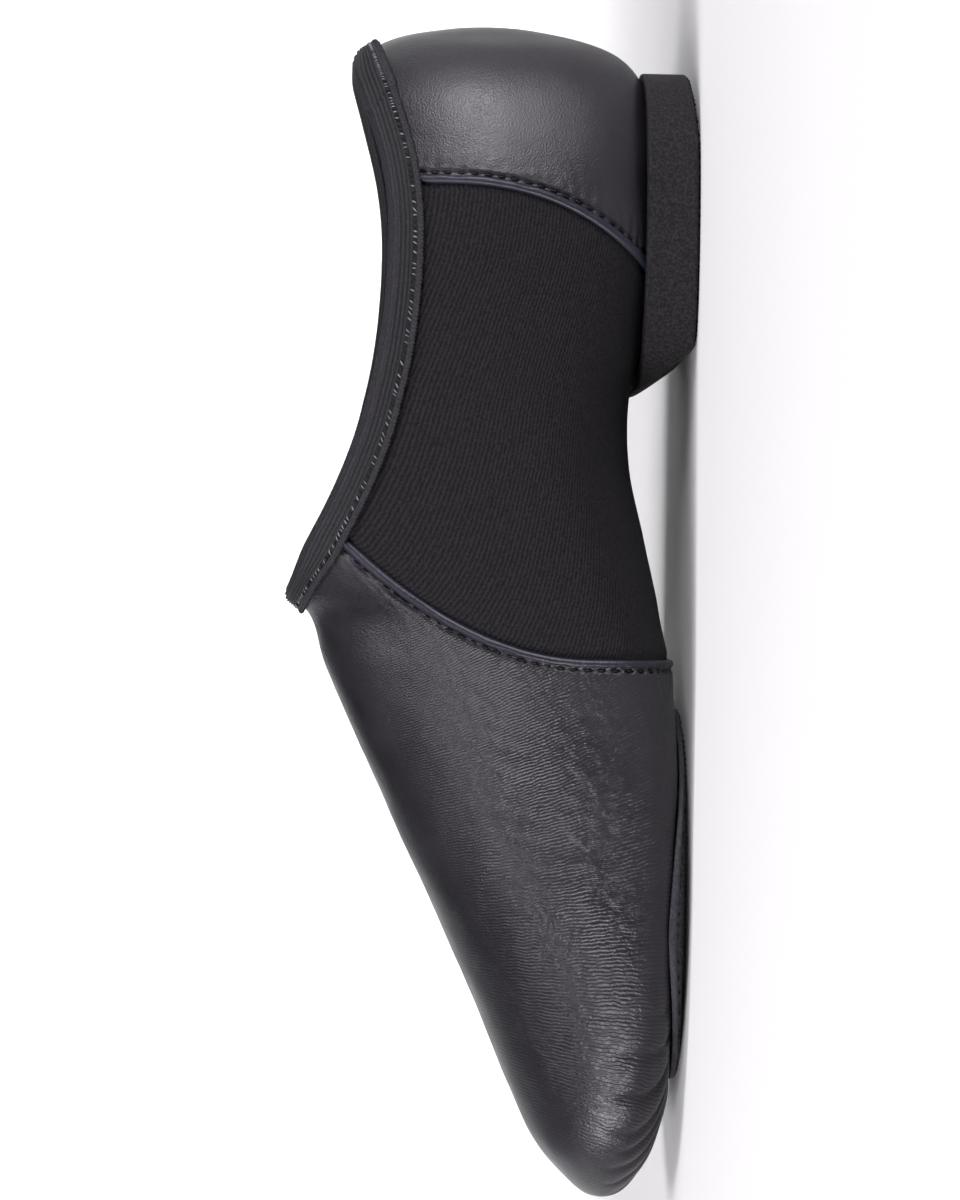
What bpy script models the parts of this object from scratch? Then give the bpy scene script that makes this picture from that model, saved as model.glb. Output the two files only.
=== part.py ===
"""Slip-on split-sole jazz shoe for the left foot, standing on a flat floor.

The toe points along +X, the outer side of the foot is +Y, and the floor is Z = 0. The origin lies on
the floor under the middle of the shoe. Every soft piece is cut from one function, last_form(), which
makes the closed form of the last at any distance inside or outside the shoe's outer surface.
"""

import math
from collections import namedtuple

import bmesh
import bpy
from mathutils import Matrix, Vector

# Driving sizes of the shoe, in metres
LENGTH = 0.245
BALL_WIDTH = 0.0786
BODY_HEIGHT = 0.0827
HEEL_RISE = 0.0058

# Materials and their thicknesses
WALL = 0.0023
LEATHER = 0.0010
FIT_GAP = 0.0003
BINDING_THICKNESS = 0.0009
BINDING_WIDTH = 0.0070
INSOLE_THICKNESS = 0.0014
PATCH_THICKNESS = 0.0016
FLAT_DEPTH = 0.00015

# Raised seam where a leather panel meets the stretch fabric
SEAM_RIDGE_WIDTH = 0.0015
SEAM_RIDGE_HEIGHT = 0.0007
SEAM_RIDGE_ROOT = 0.0002

# Seam of the vamp, seen from the side
VAMP_SEAM_X = 0.1316
VAMP_SEAM_REACH = 0.0245
VAMP_SEAM_LOW = 0.0220
VAMP_SEAM_HIGH = 0.0720
VAMP_SEAM_BEND = 1.95

# Seam of the heel counter, seen from the side
COUNTER_SEAM_X = 0.0354
COUNTER_SEAM_REACH = 0.0166
COUNTER_SEAM_HIGH = 0.0560
COUNTER_SEAM_LOW = 0.0107
COUNTER_SEAM_BEND = 2.6

# Heel block
HEEL_START = 0.0090
HEEL_LENGTH = 0.0677
HEEL_WIDTH = 0.0590
HEEL_BREAST_FOOT = 0.0595
HEEL_BREAST_ANGLE = math.radians(53)
HEEL_SKEW = math.radians(2.5)
HEEL_WALL = 0.0034
HEEL_ROCKER_LENGTH = 0.0160
HEEL_ROCKER_RISE = 0.0014

# Forefoot sole patch
PATCH_START = 0.1418
PATCH_LENGTH = 0.0779
PATCH_WIDTH = 0.9135 * BALL_WIDTH
PATCH_SHIFT = 0.0010

# Layers that are closed under the foot. The stations are where the heel block and the patch are widest.
HEEL_STATION = 0.20
PATCH_STATION = 0.75
LASTING_MARGIN = 0.0090
INSOLE_INSET = 0.0080
INSOLE_REACH = 0.0120

# Mesh density
ROW_STEPS = 2
BOTTOM_STEPS = 4
CROWN_STEPS = 6
LINE_STEPS = 2
RING_SPACING = 0.0014

# How far the cutting solids run past the shoe
CUTTER_REACH = 0.0600
CUTTER_DROP = 0.0100
SEAM_FOOT = -0.0040
SEAM_TOP = 0.1000

SEAT = PATCH_THICKNESS + FIT_GAP - FLAT_DEPTH

# One row for each section of the last, from the back of the heel to the tip of the toe.
# station: share of LENGTH from the heel. width: share of BALL_WIDTH. inward: shift towards the inside of
# the foot, share of BALL_WIDTH. lift: share of HEEL_RISE. low, widest, high: heights of the underside,
# of the widest point and of the crown above the lifted seat, shares of BODY_HEIGHT. ridge: shift of the
# crown towards the inside of the foot, share of BALL_WIDTH. sole, crown: fullness of the lower and upper
# curve, where 0.55 is an ellipse.
Section = namedtuple("Section", "station width inward lift low widest high ridge sole crown")
SECTIONS = [
    Section(0.0000, 0.000, -0.009, 1.0, 0.425, 0.425, 0.425, 0.000, 0.60, 0.55),
    Section(0.0025, 0.105, -0.009, 1.0, 0.320, 0.425, 0.530, 0.000, 0.60, 0.55),
    Section(0.0106, 0.238, -0.008, 1.0, 0.195, 0.415, 0.655, 0.000, 0.62, 0.55),
    Section(0.0253, 0.425, -0.005, 1.0, 0.093, 0.400, 0.745, 0.000, 0.68, 0.52),
    Section(0.0490, 0.608, -0.001, 1.0, 0.035, 0.390, 0.835, 0.000, 0.76, 0.50),
    Section(0.0816, 0.755, 0.003, 1.0, 0.010, 0.385, 0.910, 0.000, 0.82, 0.48),
    Section(0.1306, 0.883, 0.008, 1.0, 0.000, 0.380, 0.965, 0.000, 0.84, 0.46),
    Section(0.1959, 0.956, 0.012, 1.0, 0.004, 0.375, 1.000, 0.000, 0.84, 0.45),
    Section(0.2612, 0.940, 0.015, 0.9, 0.030, 0.370, 1.025, 0.005, 0.78, 0.45),
    Section(0.3184, 0.910, 0.008, 0.8, 0.072, 0.365, 1.050, 0.010, 0.70, 0.45),
    Section(0.3755, 0.924, 0.000, 0.6, 0.083, 0.340, 1.065, 0.020, 0.64, 0.45),
    Section(0.4327, 0.947, -0.002, 0.4, 0.059, 0.300, 1.045, 0.030, 0.64, 0.45),
    Section(0.4796, 0.974, -0.003, 0.2, 0.041, 0.250, 0.985, 0.040, 0.66, 0.45),
    Section(0.5061, 0.984, -0.002, 0.1, 0.034, 0.220, 0.916, 0.044, 0.69, 0.46),
    Section(0.5469, 0.987, -0.002, 0.0, 0.017, 0.180, 0.884, 0.048, 0.74, 0.47),
    Section(0.6122, 0.974, -0.004, 0.0, 0.001, 0.130, 0.796, 0.048, 0.82, 0.48),
    Section(0.6776, 0.975, -0.003, 0.0, 0.000, 0.115, 0.706, 0.046, 0.86, 0.49),
    Section(0.7429, 1.000, 0.000, 0.0, 0.000, 0.108, 0.614, 0.042, 0.88, 0.50),
    Section(0.8082, 0.954, 0.002, 0.0, 0.000, 0.108, 0.523, 0.036, 0.86, 0.51),
    Section(0.8653, 0.860, 0.010, 0.0, 0.000, 0.112, 0.450, 0.028, 0.80, 0.53),
    Section(0.9143, 0.725, 0.018, 0.0, 0.008, 0.122, 0.388, 0.020, 0.72, 0.55),
    Section(0.9531, 0.547, 0.020, 0.0, 0.034, 0.138, 0.330, 0.012, 0.64, 0.56),
    Section(0.9796, 0.340, 0.020, 0.0, 0.070, 0.150, 0.262, 0.006, 0.58, 0.56),
    Section(0.9952, 0.155, 0.020, 0.0, 0.112, 0.158, 0.208, 0.002, 0.55, 0.55),
    Section(1.0000, 0.000, 0.020, 0.0, 0.160, 0.160, 0.160, 0.000, 0.55, 0.55),
]

# Top edge of the collar, seen from the side. station: share of LENGTH. height: share of BODY_HEIGHT above
# the lifted seat. The first and last rows run on past the shoe.
CollarPoint = namedtuple("CollarPoint", "station height")
COLLAR = [
    CollarPoint(-0.020, 0.830),
    CollarPoint(0.040, 0.776),
    CollarPoint(0.080, 0.737),
    CollarPoint(0.132, 0.695),
    CollarPoint(0.183, 0.679),
    CollarPoint(0.235, 0.688),
    CollarPoint(0.286, 0.712),
    CollarPoint(0.338, 0.755),
    CollarPoint(0.389, 0.822),
    CollarPoint(0.441, 0.910),
    CollarPoint(0.478, 0.986),
    CollarPoint(0.530, 1.070),
]

# Plan outlines. along: share of the piece's length. half: share of its half width.
PlanPoint = namedtuple("PlanPoint", "along half")
HEEL_PLAN = [
    PlanPoint(0.000, 0.00),
    PlanPoint(0.022, 0.34),
    PlanPoint(0.085, 0.62),
    PlanPoint(0.185, 0.82),
    PlanPoint(0.320, 0.94),
    PlanPoint(0.480, 0.99),
    PlanPoint(0.640, 1.00),
    PlanPoint(0.780, 0.95),
    PlanPoint(0.890, 0.82),
    PlanPoint(0.960, 0.58),
    PlanPoint(0.992, 0.28),
    PlanPoint(1.000, 0.00),
]
PATCH_PLAN = [
    PlanPoint(0.000, 0.00),
    PlanPoint(0.028, 0.17),
    PlanPoint(0.080, 0.36),
    PlanPoint(0.180, 0.62),
    PlanPoint(0.310, 0.84),
    PlanPoint(0.430, 0.96),
    PlanPoint(0.560, 1.00),
    PlanPoint(0.680, 0.94),
    PlanPoint(0.800, 0.79),
    PlanPoint(0.900, 0.59),
    PlanPoint(0.965, 0.35),
    PlanPoint(0.992, 0.16),
    PlanPoint(1.000, 0.00),
]


def spline(rows, at):
    """Smooth value of every column at a row number that may lie between two rows."""
    last = len(rows) - 1
    index = min(int(at), last - 1)
    part = at - index
    around = [rows[min(max(index + step, 0), last)] for step in (-1, 0, 1, 2)]
    values = []
    for before, start, end, after in zip(*around):
        bend = 2 * before - 5 * start + 4 * end - after
        twist = 3 * start - before - 3 * end + after
        values.append(start + 0.5 * part * (end - before + part * (bend + part * twist)))
    return rows[0]._make(values)


def row_numbers(rows, steps):
    return [step / steps for step in range((len(rows) - 1) * steps + 1)]


def rings():
    """The sections that are drawn as rings, none closer to the last than RING_SPACING."""
    samples = [spline(SECTIONS, at) for at in row_numbers(SECTIONS, ROW_STEPS)]
    kept = samples[:1]
    for sample in samples[1:-1]:
        to_last = (sample.station - kept[-1].station) * LENGTH
        to_tip = (1 - sample.station) * LENGTH
        if min(to_last, to_tip) > RING_SPACING or len(kept) == 1 and to_last > RING_SPACING / 3:
            kept.append(sample)
    return kept + samples[-1:]


def heel_lift(station):
    """Share of HEEL_RISE at a station, read from the sections."""
    inside = min(max(station, SECTIONS[0].station), SECTIONS[-1].station)
    for first, second in zip(SECTIONS, SECTIONS[1:]):
        if inside <= second.station:
            part = (inside - first.station) / (second.station - first.station)
            return first.lift + part * (second.lift - first.lift)
    return SECTIONS[-1].lift


def height_at(station, share):
    return SEAT + heel_lift(station) * HEEL_RISE + share * BODY_HEIGHT


def shoe_x(distance):
    """X of a point that lies this far from the back of the heel."""
    return distance - LENGTH / 2


def bezier(points, part):
    rest = 1 - part
    weights = (rest**3, 3 * rest**2 * part, 3 * rest * part**2, part**3)
    return [sum(weight * point[axis] for weight, point in zip(weights, points)) for axis in (0, 1)]


def half_section(section, side):
    """Points (y, z) of one side of a section, from under the foot up to the crown, both ends included."""
    half = section.width * BALL_WIDTH / 2
    middle = -section.inward * BALL_WIDTH
    crown_y = middle - section.ridge * BALL_WIDTH
    seat = SEAT + section.lift * HEEL_RISE
    low, widest, high = (seat + share * BODY_HEIGHT for share in (section.low, section.widest, section.high))
    edge = middle + side * half
    lower = (
        (middle, low),
        (middle + side * half * section.sole, low),
        (edge, widest - section.sole * (widest - low)),
        (edge, widest),
    )
    upper = (
        (edge, widest),
        (edge, widest + section.crown * (high - widest)),
        (crown_y + side * half * section.crown, high),
        (crown_y, high),
    )
    points = [bezier(lower, step / BOTTOM_STEPS) for step in range(BOTTOM_STEPS)]
    points += [bezier(upper, step / CROWN_STEPS) for step in range(CROWN_STEPS + 1)]
    return points


def section_ring(section):
    """The closed ring of one section, from under the foot round the outer side, the crown and back."""
    x = shoe_x(section.station * LENGTH)
    outer = half_section(section, 1)
    inner = half_section(section, -1)
    return [Vector((x, y, z)) for y, z in outer + inner[-2:0:-1]]


def last_form(name, offset):
    """The closed form of the last, this far outside the shoe's outer surface, or inside it if negative."""
    shape = bmesh.new()
    hoops = []
    for section in rings():
        points = section_ring(section) if section.width > 0 else section_ring(section)[:1]
        hoops.append([shape.verts.new(point) for point in points])
    around = len(hoops[1])
    for ring, following in zip(hoops[1:-1], hoops[2:-1]):
        for step in range(around):
            after = (step + 1) % around
            shape.faces.new((ring[step], ring[after], following[after], following[step]))
    for step in range(around):
        after = (step + 1) % around
        shape.faces.new((hoops[0][0], hoops[1][after], hoops[1][step]))
        shape.faces.new((hoops[-1][0], hoops[-2][step], hoops[-2][after]))
    bmesh.ops.triangulate(shape, faces=shape.faces[:])
    bmesh.ops.recalc_face_normals(shape, faces=shape.faces[:])
    moves = [vertex.normal * offset for vertex in shape.verts]
    for vertex, move in zip(shape.verts, moves):
        vertex.co += move
    mesh = bpy.data.meshes.new(name)
    shape.to_mesh(mesh)
    shape.free()
    return bpy.data.objects.new(name, mesh)


def link(obj, collection):
    collection.objects.link(obj)
    return obj


def as_cutter(obj):
    obj.hide_render = True
    obj.display_type = "WIRE"
    return link(obj, cutters)


def prism(name, outline, low, high, upright=False):
    """A mesh prism on a flat outline. It stands along Z from low to high or, upright, lies along Y."""
    curve = bpy.data.curves.new(name, "CURVE")
    curve.dimensions = "2D"
    curve.fill_mode = "BOTH"
    curve.extrude = (high - low) / 2
    line = curve.splines.new("POLY")
    line.points.add(len(outline) - 1)
    for point, (across, up) in zip(line.points, outline):
        point.co = (across, up, 0, 1)
    line.use_cyclic_u = True
    drawn = link(bpy.data.objects.new(name + "_outline", curve), cutters)
    if upright:
        drawn.rotation_euler = (math.radians(90), 0, 0)
        drawn.location = (0, (low + high) / 2, 0)
    else:
        drawn.location = (0, 0, (low + high) / 2)
    bpy.context.view_layer.update()
    graph = bpy.context.evaluated_depsgraph_get()
    mesh = bpy.data.meshes.new_from_object(drawn.evaluated_get(graph))
    mesh.transform(drawn.matrix_world)
    shape = bmesh.new()
    shape.from_mesh(mesh)
    bmesh.ops.remove_doubles(shape, verts=shape.verts[:], dist=1e-6)
    bmesh.ops.recalc_face_normals(shape, faces=shape.faces[:])
    shape.to_mesh(mesh)
    shape.free()
    bpy.data.objects.remove(drawn)
    mesh.name = name
    return as_cutter(bpy.data.objects.new(name, mesh))


def combine(obj, other, operation):
    """Cuts, joins or keeps what obj shares with other, and stores the result in obj."""
    step = obj.modifiers.new(operation.title(), "BOOLEAN")
    step.operation = operation
    step.object = other
    step.solver = "EXACT"
    graph = bpy.context.evaluated_depsgraph_get()
    result = bpy.data.meshes.new_from_object(obj.evaluated_get(graph))
    obj.modifiers.remove(step)
    obj.data = result
    return obj


def copy_of(obj, name):
    twin = bpy.data.objects.new(name, obj.data.copy())
    return as_cutter(twin)


def form(name, offset):
    return as_cutter(last_form(name, offset))


def between(name, outer, inner):
    """The layer between two forms."""
    return combine(copy_of(outer, name), inner, "DIFFERENCE")


def collar_line(drop):
    """Points (x, z) of the collar's top edge, moved this far down across its own direction."""
    samples = [spline(COLLAR, at) for at in row_numbers(COLLAR, LINE_STEPS)]
    points = [Vector((shoe_x(s.station * LENGTH), height_at(s.station, s.height))) for s in samples]
    moved = []
    for index, point in enumerate(points):
        before = points[max(index - 1, 0)]
        after = points[min(index + 1, len(points) - 1)]
        along = (after - before).normalized()
        moved.append(point + drop * Vector((along.y, -along.x)))
    return moved


def below_collar(name, drop):
    """Everything lower than the collar's edge, moved this far down."""
    line = collar_line(drop)
    floor = [(LENGTH, -CUTTER_REACH), (-LENGTH, -CUTTER_REACH)]
    ends = [(LENGTH, line[-1].y), *floor, (-LENGTH, line[0].y)]
    return prism(name, [tuple(point) for point in line] + ends, -CUTTER_REACH, CUTTER_REACH, upright=True)


def seam_heights():
    """Heights at which a side seam is drawn, from below the shoe to above the collar."""
    count = 5 * LINE_STEPS
    return [SEAM_FOOT + (SEAM_TOP - SEAM_FOOT) * step / count for step in range(count + 1)]


def vamp_seam(z):
    rise = max(z - VAMP_SEAM_LOW, 0) / (VAMP_SEAM_HIGH - VAMP_SEAM_LOW)
    return shoe_x(VAMP_SEAM_X - VAMP_SEAM_REACH * rise**VAMP_SEAM_BEND)


def counter_seam(z):
    fall = max(COUNTER_SEAM_HIGH - z, 0) / (COUNTER_SEAM_HIGH - COUNTER_SEAM_LOW)
    return shoe_x(COUNTER_SEAM_X + COUNTER_SEAM_REACH * fall**COUNTER_SEAM_BEND)


def panel_side(name, seam, shift, towards_toe, reach=LENGTH):
    """The part of side view ahead of or behind a seam that is moved along X, as far as reach."""
    way = 1 if towards_toe else -1
    line = [(seam(z) + way * shift, z) for z in seam_heights()]
    if reach < LENGTH:
        far = [(x + way * (reach - shift), z) for x, z in reversed(line)]
    else:
        far = [(way * LENGTH, line[-1][1]), (way * LENGTH, line[0][1])]
    return prism(name, line + far, -CUTTER_REACH, CUTTER_REACH, upright=True)


def plan_outline(rows, start, length, width, inset, middle, skew=0.0):
    """A closed plan outline from a table of half widths, drawn in from its edge by inset."""
    samples = [spline(rows, at) for at in row_numbers(rows, LINE_STEPS)]
    right = []
    for sample in samples[1:-1]:
        x = start + inset + sample.along * (length - 2 * inset)
        right.append((x, max(sample.half, 0) * (width / 2 - inset)))
    left = [(x, -y) for x, y in reversed(right)]
    loop = [(start + inset, 0.0), *right, (start + length - inset, 0.0), *left]
    return [(shoe_x(x) + math.tan(skew) * y, y + middle) for x, y in loop]


def heel_outline(inset):
    return plan_outline(HEEL_PLAN, HEEL_START, HEEL_LENGTH, HEEL_WIDTH, inset, heel_middle(), -HEEL_SKEW)


def patch_outline(inset):
    return plan_outline(PATCH_PLAN, PATCH_START, PATCH_LENGTH, PATCH_WIDTH, inset, PATCH_SHIFT)


def heel_middle():
    """Y of the heel's middle line, taken from the sections above it."""
    under = [s.inward for s in SECTIONS if HEEL_START < s.station * LENGTH < HEEL_START + HEEL_LENGTH]
    return -BALL_WIDTH * sum(under) / len(under)


def heel_top():
    """Height of the heel block's edge, where it ends on the side of the upper."""
    return height_at(HEEL_STATION, 0.0) + HEEL_WALL


def lasting_openings(forms):
    """Cutters for the openings that the heel block and the sole patch close."""
    for name, outline, station in (
        ("forefoot_opening", patch_outline(LASTING_MARGIN), PATCH_STATION),
        ("heel_opening", heel_outline(LASTING_MARGIN), HEEL_STATION),
    ):
        top = height_at(station, 0.0) + WALL + LASTING_MARGIN / 2
        forms[name] = prism(name, outline, -HEEL_RISE, top)


def finish(obj, name, colour, roughness, smooth_angle=40):
    """Names the piece, gives it its material and puts it among the shoe's pieces."""
    material = bpy.data.materials.new(name)
    material.use_nodes = True
    shader = material.node_tree.nodes["Principled BSDF"]
    shader.inputs["Base Color"].default_value = (*colour, 1)
    shader.inputs["Roughness"].default_value = roughness
    shader.inputs["Metallic"].default_value = 0.0
    mesh = obj.data.copy()
    mesh.materials.clear()
    mesh.materials.append(material)
    mesh.shade_smooth()
    mesh.set_sharp_from_angle(angle=math.radians(smooth_angle))
    piece = bpy.data.objects.new(name, mesh)
    mesh.name = name
    return link(piece, shoe)


def make_upper(forms):
    """One hollow sock of stretch fabric, thinned to its lining where a leather panel lies in it."""
    body = between("upper_body", forms["skin"], forms["inside"])
    for name, seam, towards_toe in (("vamp", vamp_seam, True), ("counter", counter_seam, False)):
        pocket = panel_side(name + "_pocket", seam, -FIT_GAP, towards_toe)
        combine(pocket, forms["lining"], "DIFFERENCE")
        combine(body, pocket, "DIFFERENCE")
    combine(body, forms["below_edge"], "INTERSECT")
    for opening in ("forefoot_opening", "heel_opening"):
        combine(body, forms[opening], "DIFFERENCE")
    finish(body, "upper", (0.012, 0.012, 0.014), 0.9)


def make_panel(forms, name, seam, towards_toe, openings):
    """A leather panel set into the upper, with a raised seam along its edge."""
    panel = copy_of(forms["skin"], name + "_body")
    combine(panel, panel_side(name + "_field", seam, SEAM_RIDGE_ROOT, towards_toe), "INTERSECT")
    ridge = copy_of(forms["ridge_top"], name + "_ridge")
    strip = panel_side(name + "_strip", seam, 0.0, towards_toe, SEAM_RIDGE_WIDTH)
    combine(ridge, strip, "INTERSECT")
    combine(ridge, forms["below_binding"], "INTERSECT")
    combine(ridge, forms["heel_space"], "DIFFERENCE")
    combine(panel, ridge, "UNION")
    combine(panel, forms["leather_back"], "DIFFERENCE")
    combine(panel, forms["below_edge"], "INTERSECT")
    for opening in openings:
        combine(panel, forms[opening], "DIFFERENCE")
    finish(panel, name, (0.030, 0.029, 0.033), 0.45)


def make_binding(forms):
    """The elastic band folded over the collar's edge, inside and outside."""
    band = between("binding_body", forms["binding_outside"], forms["binding_inside"])
    combine(band, below_collar("binding_top", 0.0), "INTERSECT")
    combine(band, below_collar("binding_foot", BINDING_WIDTH), "DIFFERENCE")
    slot = between("binding_slot", forms["clear_outside"], forms["clear_inside"])
    combine(slot, below_collar("binding_slot_top", BINDING_THICKNESS), "INTERSECT")
    combine(band, slot, "DIFFERENCE")
    finish(band, "collar_binding", (0.016, 0.016, 0.020), 0.85)


def make_insole(forms):
    """The sock on the floor of the shoe, which also covers the openings under the foot."""
    sock = between("insole_body", forms["clear_inside"], forms["insole_top"])
    rows = rings()
    wide = [row for row in rows if row.width * BALL_WIDTH / 2 > INSOLE_INSET]
    outline = []
    for side, order in ((1, wide), (-1, wide[::-1])):
        for row in order:
            half = row.width * BALL_WIDTH / 2 - INSOLE_INSET
            y = side * half - row.inward * BALL_WIDTH
            outline.append((shoe_x(row.station * LENGTH), y))
    combine(sock, prism("insole_plan", outline, -HEEL_RISE, BODY_HEIGHT), "INTERSECT")
    ceiling = []
    for row in rows:
        z = SEAT + row.lift * HEEL_RISE + row.low * BODY_HEIGHT + INSOLE_REACH
        ceiling.append((shoe_x(row.station * LENGTH), min(z, SEAT + HEEL_RISE + 2 * INSOLE_REACH)))
    floor = [(LENGTH, -INSOLE_REACH), (-LENGTH, -INSOLE_REACH)]
    below = prism("insole_below", ceiling + floor, -CUTTER_REACH, CUTTER_REACH, upright=True)
    combine(sock, below, "INTERSECT")
    finish(sock, "insole", (0.020, 0.020, 0.022), 0.9)


def make_patch(forms, ground):
    """The rubber patch under the ball of the foot, ground flat where it meets the floor."""
    widest = min(section.widest for section in SECTIONS if section.width > 0)
    top = height_at(PATCH_STATION, widest)
    patch = between("patch_body", forms["patch_outside"], forms["clear_outside"])
    combine(patch, prism("patch_plan", patch_outline(0.0), -CUTTER_DROP, top), "INTERSECT")
    combine(patch, ground, "DIFFERENCE")
    finish(patch, "forefoot_sole", (0.028, 0.027, 0.034), 0.6, smooth_angle=25)


def make_heel(forms):
    """The foam heel block, cupped to the upper, with a sloped breast and a slight rocker at the back."""
    top = heel_top()
    block = prism("heel_body", heel_outline(0.0), 0.0, top)
    start, foot = shoe_x(HEEL_START), shoe_x(HEEL_START + HEEL_BREAST_FOOT)
    rocker_slope = HEEL_ROCKER_RISE / HEEL_ROCKER_LENGTH
    rocker_end = start + HEEL_ROCKER_LENGTH
    behind = start - CUTTER_DROP
    rocker_height = rocker_slope * (rocker_end - behind)
    rocker = [(rocker_end, 0.0), (behind, rocker_height), (behind, -CUTTER_DROP), (rocker_end, -CUTTER_DROP)]
    combine(block, prism("heel_rocker", rocker, -CUTTER_REACH, CUTTER_REACH, upright=True), "DIFFERENCE")
    reach = 2 * top
    lean = foot + reach / math.tan(HEEL_BREAST_ANGLE)
    ahead = lean + CUTTER_DROP
    breast = [(foot, 0.0), (lean, reach), (ahead, reach), (ahead, -CUTTER_DROP), (foot, -CUTTER_DROP)]
    wedge = prism("heel_breast", breast, -CUTTER_REACH, CUTTER_REACH, upright=True)
    wedge.data.transform(skewed_about(foot))
    combine(block, wedge, "DIFFERENCE")
    combine(block, forms["clear_outside"], "DIFFERENCE")
    finish(block, "heel_block", (0.020, 0.020, 0.022), 0.9, smooth_angle=25)


def skewed_about(x):
    """A turn about Z at this X, which sets the heel's breast a little askew."""
    there = Matrix.Translation((x, heel_middle(), 0))
    back = Matrix.Translation((-x, -heel_middle(), 0))
    return there @ Matrix.Rotation(HEEL_SKEW, 4, "Z") @ back


def new_collection(name):
    made = bpy.data.collections.new(name)
    bpy.context.scene.collection.children.link(made)
    return made


for old in list(bpy.data.objects):
    bpy.data.objects.remove(old)
shoe = new_collection("jazz_shoe")
cutters = new_collection("cutters")
cutters.hide_render = True

LAYERS = {
    "patch_outside": FIT_GAP + PATCH_THICKNESS,
    "binding_outside": FIT_GAP + BINDING_THICKNESS,
    "ridge_top": SEAM_RIDGE_HEIGHT,
    "clear_outside": FIT_GAP,
    "skin": 0.0,
    "leather_back": -LEATHER,
    "lining": -LEATHER - FIT_GAP,
    "inside": -WALL,
    "clear_inside": -WALL - FIT_GAP,
    "insole_top": -WALL - FIT_GAP - INSOLE_THICKNESS,
    "binding_inside": -WALL - FIT_GAP - BINDING_THICKNESS,
}
shapes = {name: form(name, offset) for name, offset in LAYERS.items()}
shapes["below_edge"] = below_collar("below_edge", BINDING_THICKNESS + FIT_GAP)
shapes["below_binding"] = below_collar("below_binding", BINDING_WIDTH + FIT_GAP)
shapes["heel_space"] = prism("heel_space", heel_outline(-FIT_GAP), -HEEL_RISE, heel_top() + FIT_GAP)
lasting_openings(shapes)
ground_box = [(-LENGTH, -LENGTH), (LENGTH, -LENGTH), (LENGTH, LENGTH), (-LENGTH, LENGTH)]

make_upper(shapes)
make_panel(shapes, "vamp", vamp_seam, True, ("forefoot_opening",))
make_panel(shapes, "counter", counter_seam, False, ("heel_opening",))
make_binding(shapes)
make_insole(shapes)
make_patch(shapes, prism("ground", ground_box, -2 * CUTTER_DROP, 0.0))
make_heel(shapes)
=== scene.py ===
"""Looks of a left slip-on jazz shoe: leather vamp and counter on a knitted stretch upper.

The toe points along +X, the outer side of the foot is +Y and the floor is Z = 0. Lengths are in metres.
"""

import math
import random
from collections import namedtuple

import bpy
import numpy as np
from mathutils import Matrix, Vector, noise
from mathutils.bvhtree import BVHTree


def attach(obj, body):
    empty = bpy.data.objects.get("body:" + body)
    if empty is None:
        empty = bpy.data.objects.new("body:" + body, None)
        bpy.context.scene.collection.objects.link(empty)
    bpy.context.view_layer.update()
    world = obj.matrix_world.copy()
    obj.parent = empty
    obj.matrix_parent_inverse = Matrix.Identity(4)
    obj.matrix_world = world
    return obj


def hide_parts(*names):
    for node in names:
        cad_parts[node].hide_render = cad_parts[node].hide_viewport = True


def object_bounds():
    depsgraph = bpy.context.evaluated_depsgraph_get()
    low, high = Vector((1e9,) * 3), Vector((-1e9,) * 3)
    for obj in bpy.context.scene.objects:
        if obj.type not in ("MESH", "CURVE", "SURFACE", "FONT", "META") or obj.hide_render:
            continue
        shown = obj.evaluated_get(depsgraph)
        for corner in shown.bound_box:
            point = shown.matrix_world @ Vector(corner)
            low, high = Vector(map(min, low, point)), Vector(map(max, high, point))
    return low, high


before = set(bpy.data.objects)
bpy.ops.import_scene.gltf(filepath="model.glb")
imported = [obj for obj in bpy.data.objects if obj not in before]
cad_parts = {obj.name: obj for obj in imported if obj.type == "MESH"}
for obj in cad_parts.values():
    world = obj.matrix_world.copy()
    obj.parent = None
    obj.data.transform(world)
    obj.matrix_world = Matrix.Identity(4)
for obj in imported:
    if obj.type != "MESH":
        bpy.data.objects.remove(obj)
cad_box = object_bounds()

MM = 0.001

# Sizes of the shoe
LENGTH = cad_box[1].x - cad_box[0].x
HEEL_X = cad_box[0].x
BALL_WIDTH = 0.0786
BODY_HEIGHT = 0.0827
HEEL_RISE = 0.0058
WALL = 0.0023
FIT_GAP = 0.0003
BINDING_THICKNESS = 0.0009
BINDING_WIDTH = 0.0070
INSOLE_THICKNESS = 0.0014
PATCH_THICKNESS = 0.0016
FLAT_DEPTH = 0.00015
SEAT = PATCH_THICKNESS + FIT_GAP - FLAT_DEPTH

# Seams, seen from the side
VAMP_SEAM_X = 0.1316
VAMP_SEAM_REACH = 0.0245
VAMP_SEAM_LOW = 0.0220
VAMP_SEAM_HIGH = 0.0720
VAMP_SEAM_BEND = 1.95
COUNTER_SEAM_X = 0.0354
COUNTER_SEAM_REACH = 0.0166
COUNTER_SEAM_HIGH = 0.0560
COUNTER_SEAM_LOW = 0.0107
COUNTER_SEAM_BEND = 2.6

# Turned edge of the leather: a rolled lip, a stitched groove and the panel behind it
LIP_WIDTH = 1.75 * MM
LIP_HEIGHT = 0.85 * MM
GROOVE_AT = 2.20 * MM
GROOVE_WIDTH = 0.42 * MM
GROOVE_DEPTH = 0.12 * MM
STITCH_SINK = 0.56 * MM
PANEL_HEIGHT = 0.34 * MM
PANEL_FADE = 8.0 * MM
TUCK = 0.5 * MM
UNDER_BINDING = 2.0 * MM
STITCH_PITCH = 2.75 * MM
STITCH_LENGTH = 1.9 * MM
STITCH_SIZE = 0.27 * MM
STITCH_LIFT = -0.12 * MM

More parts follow.
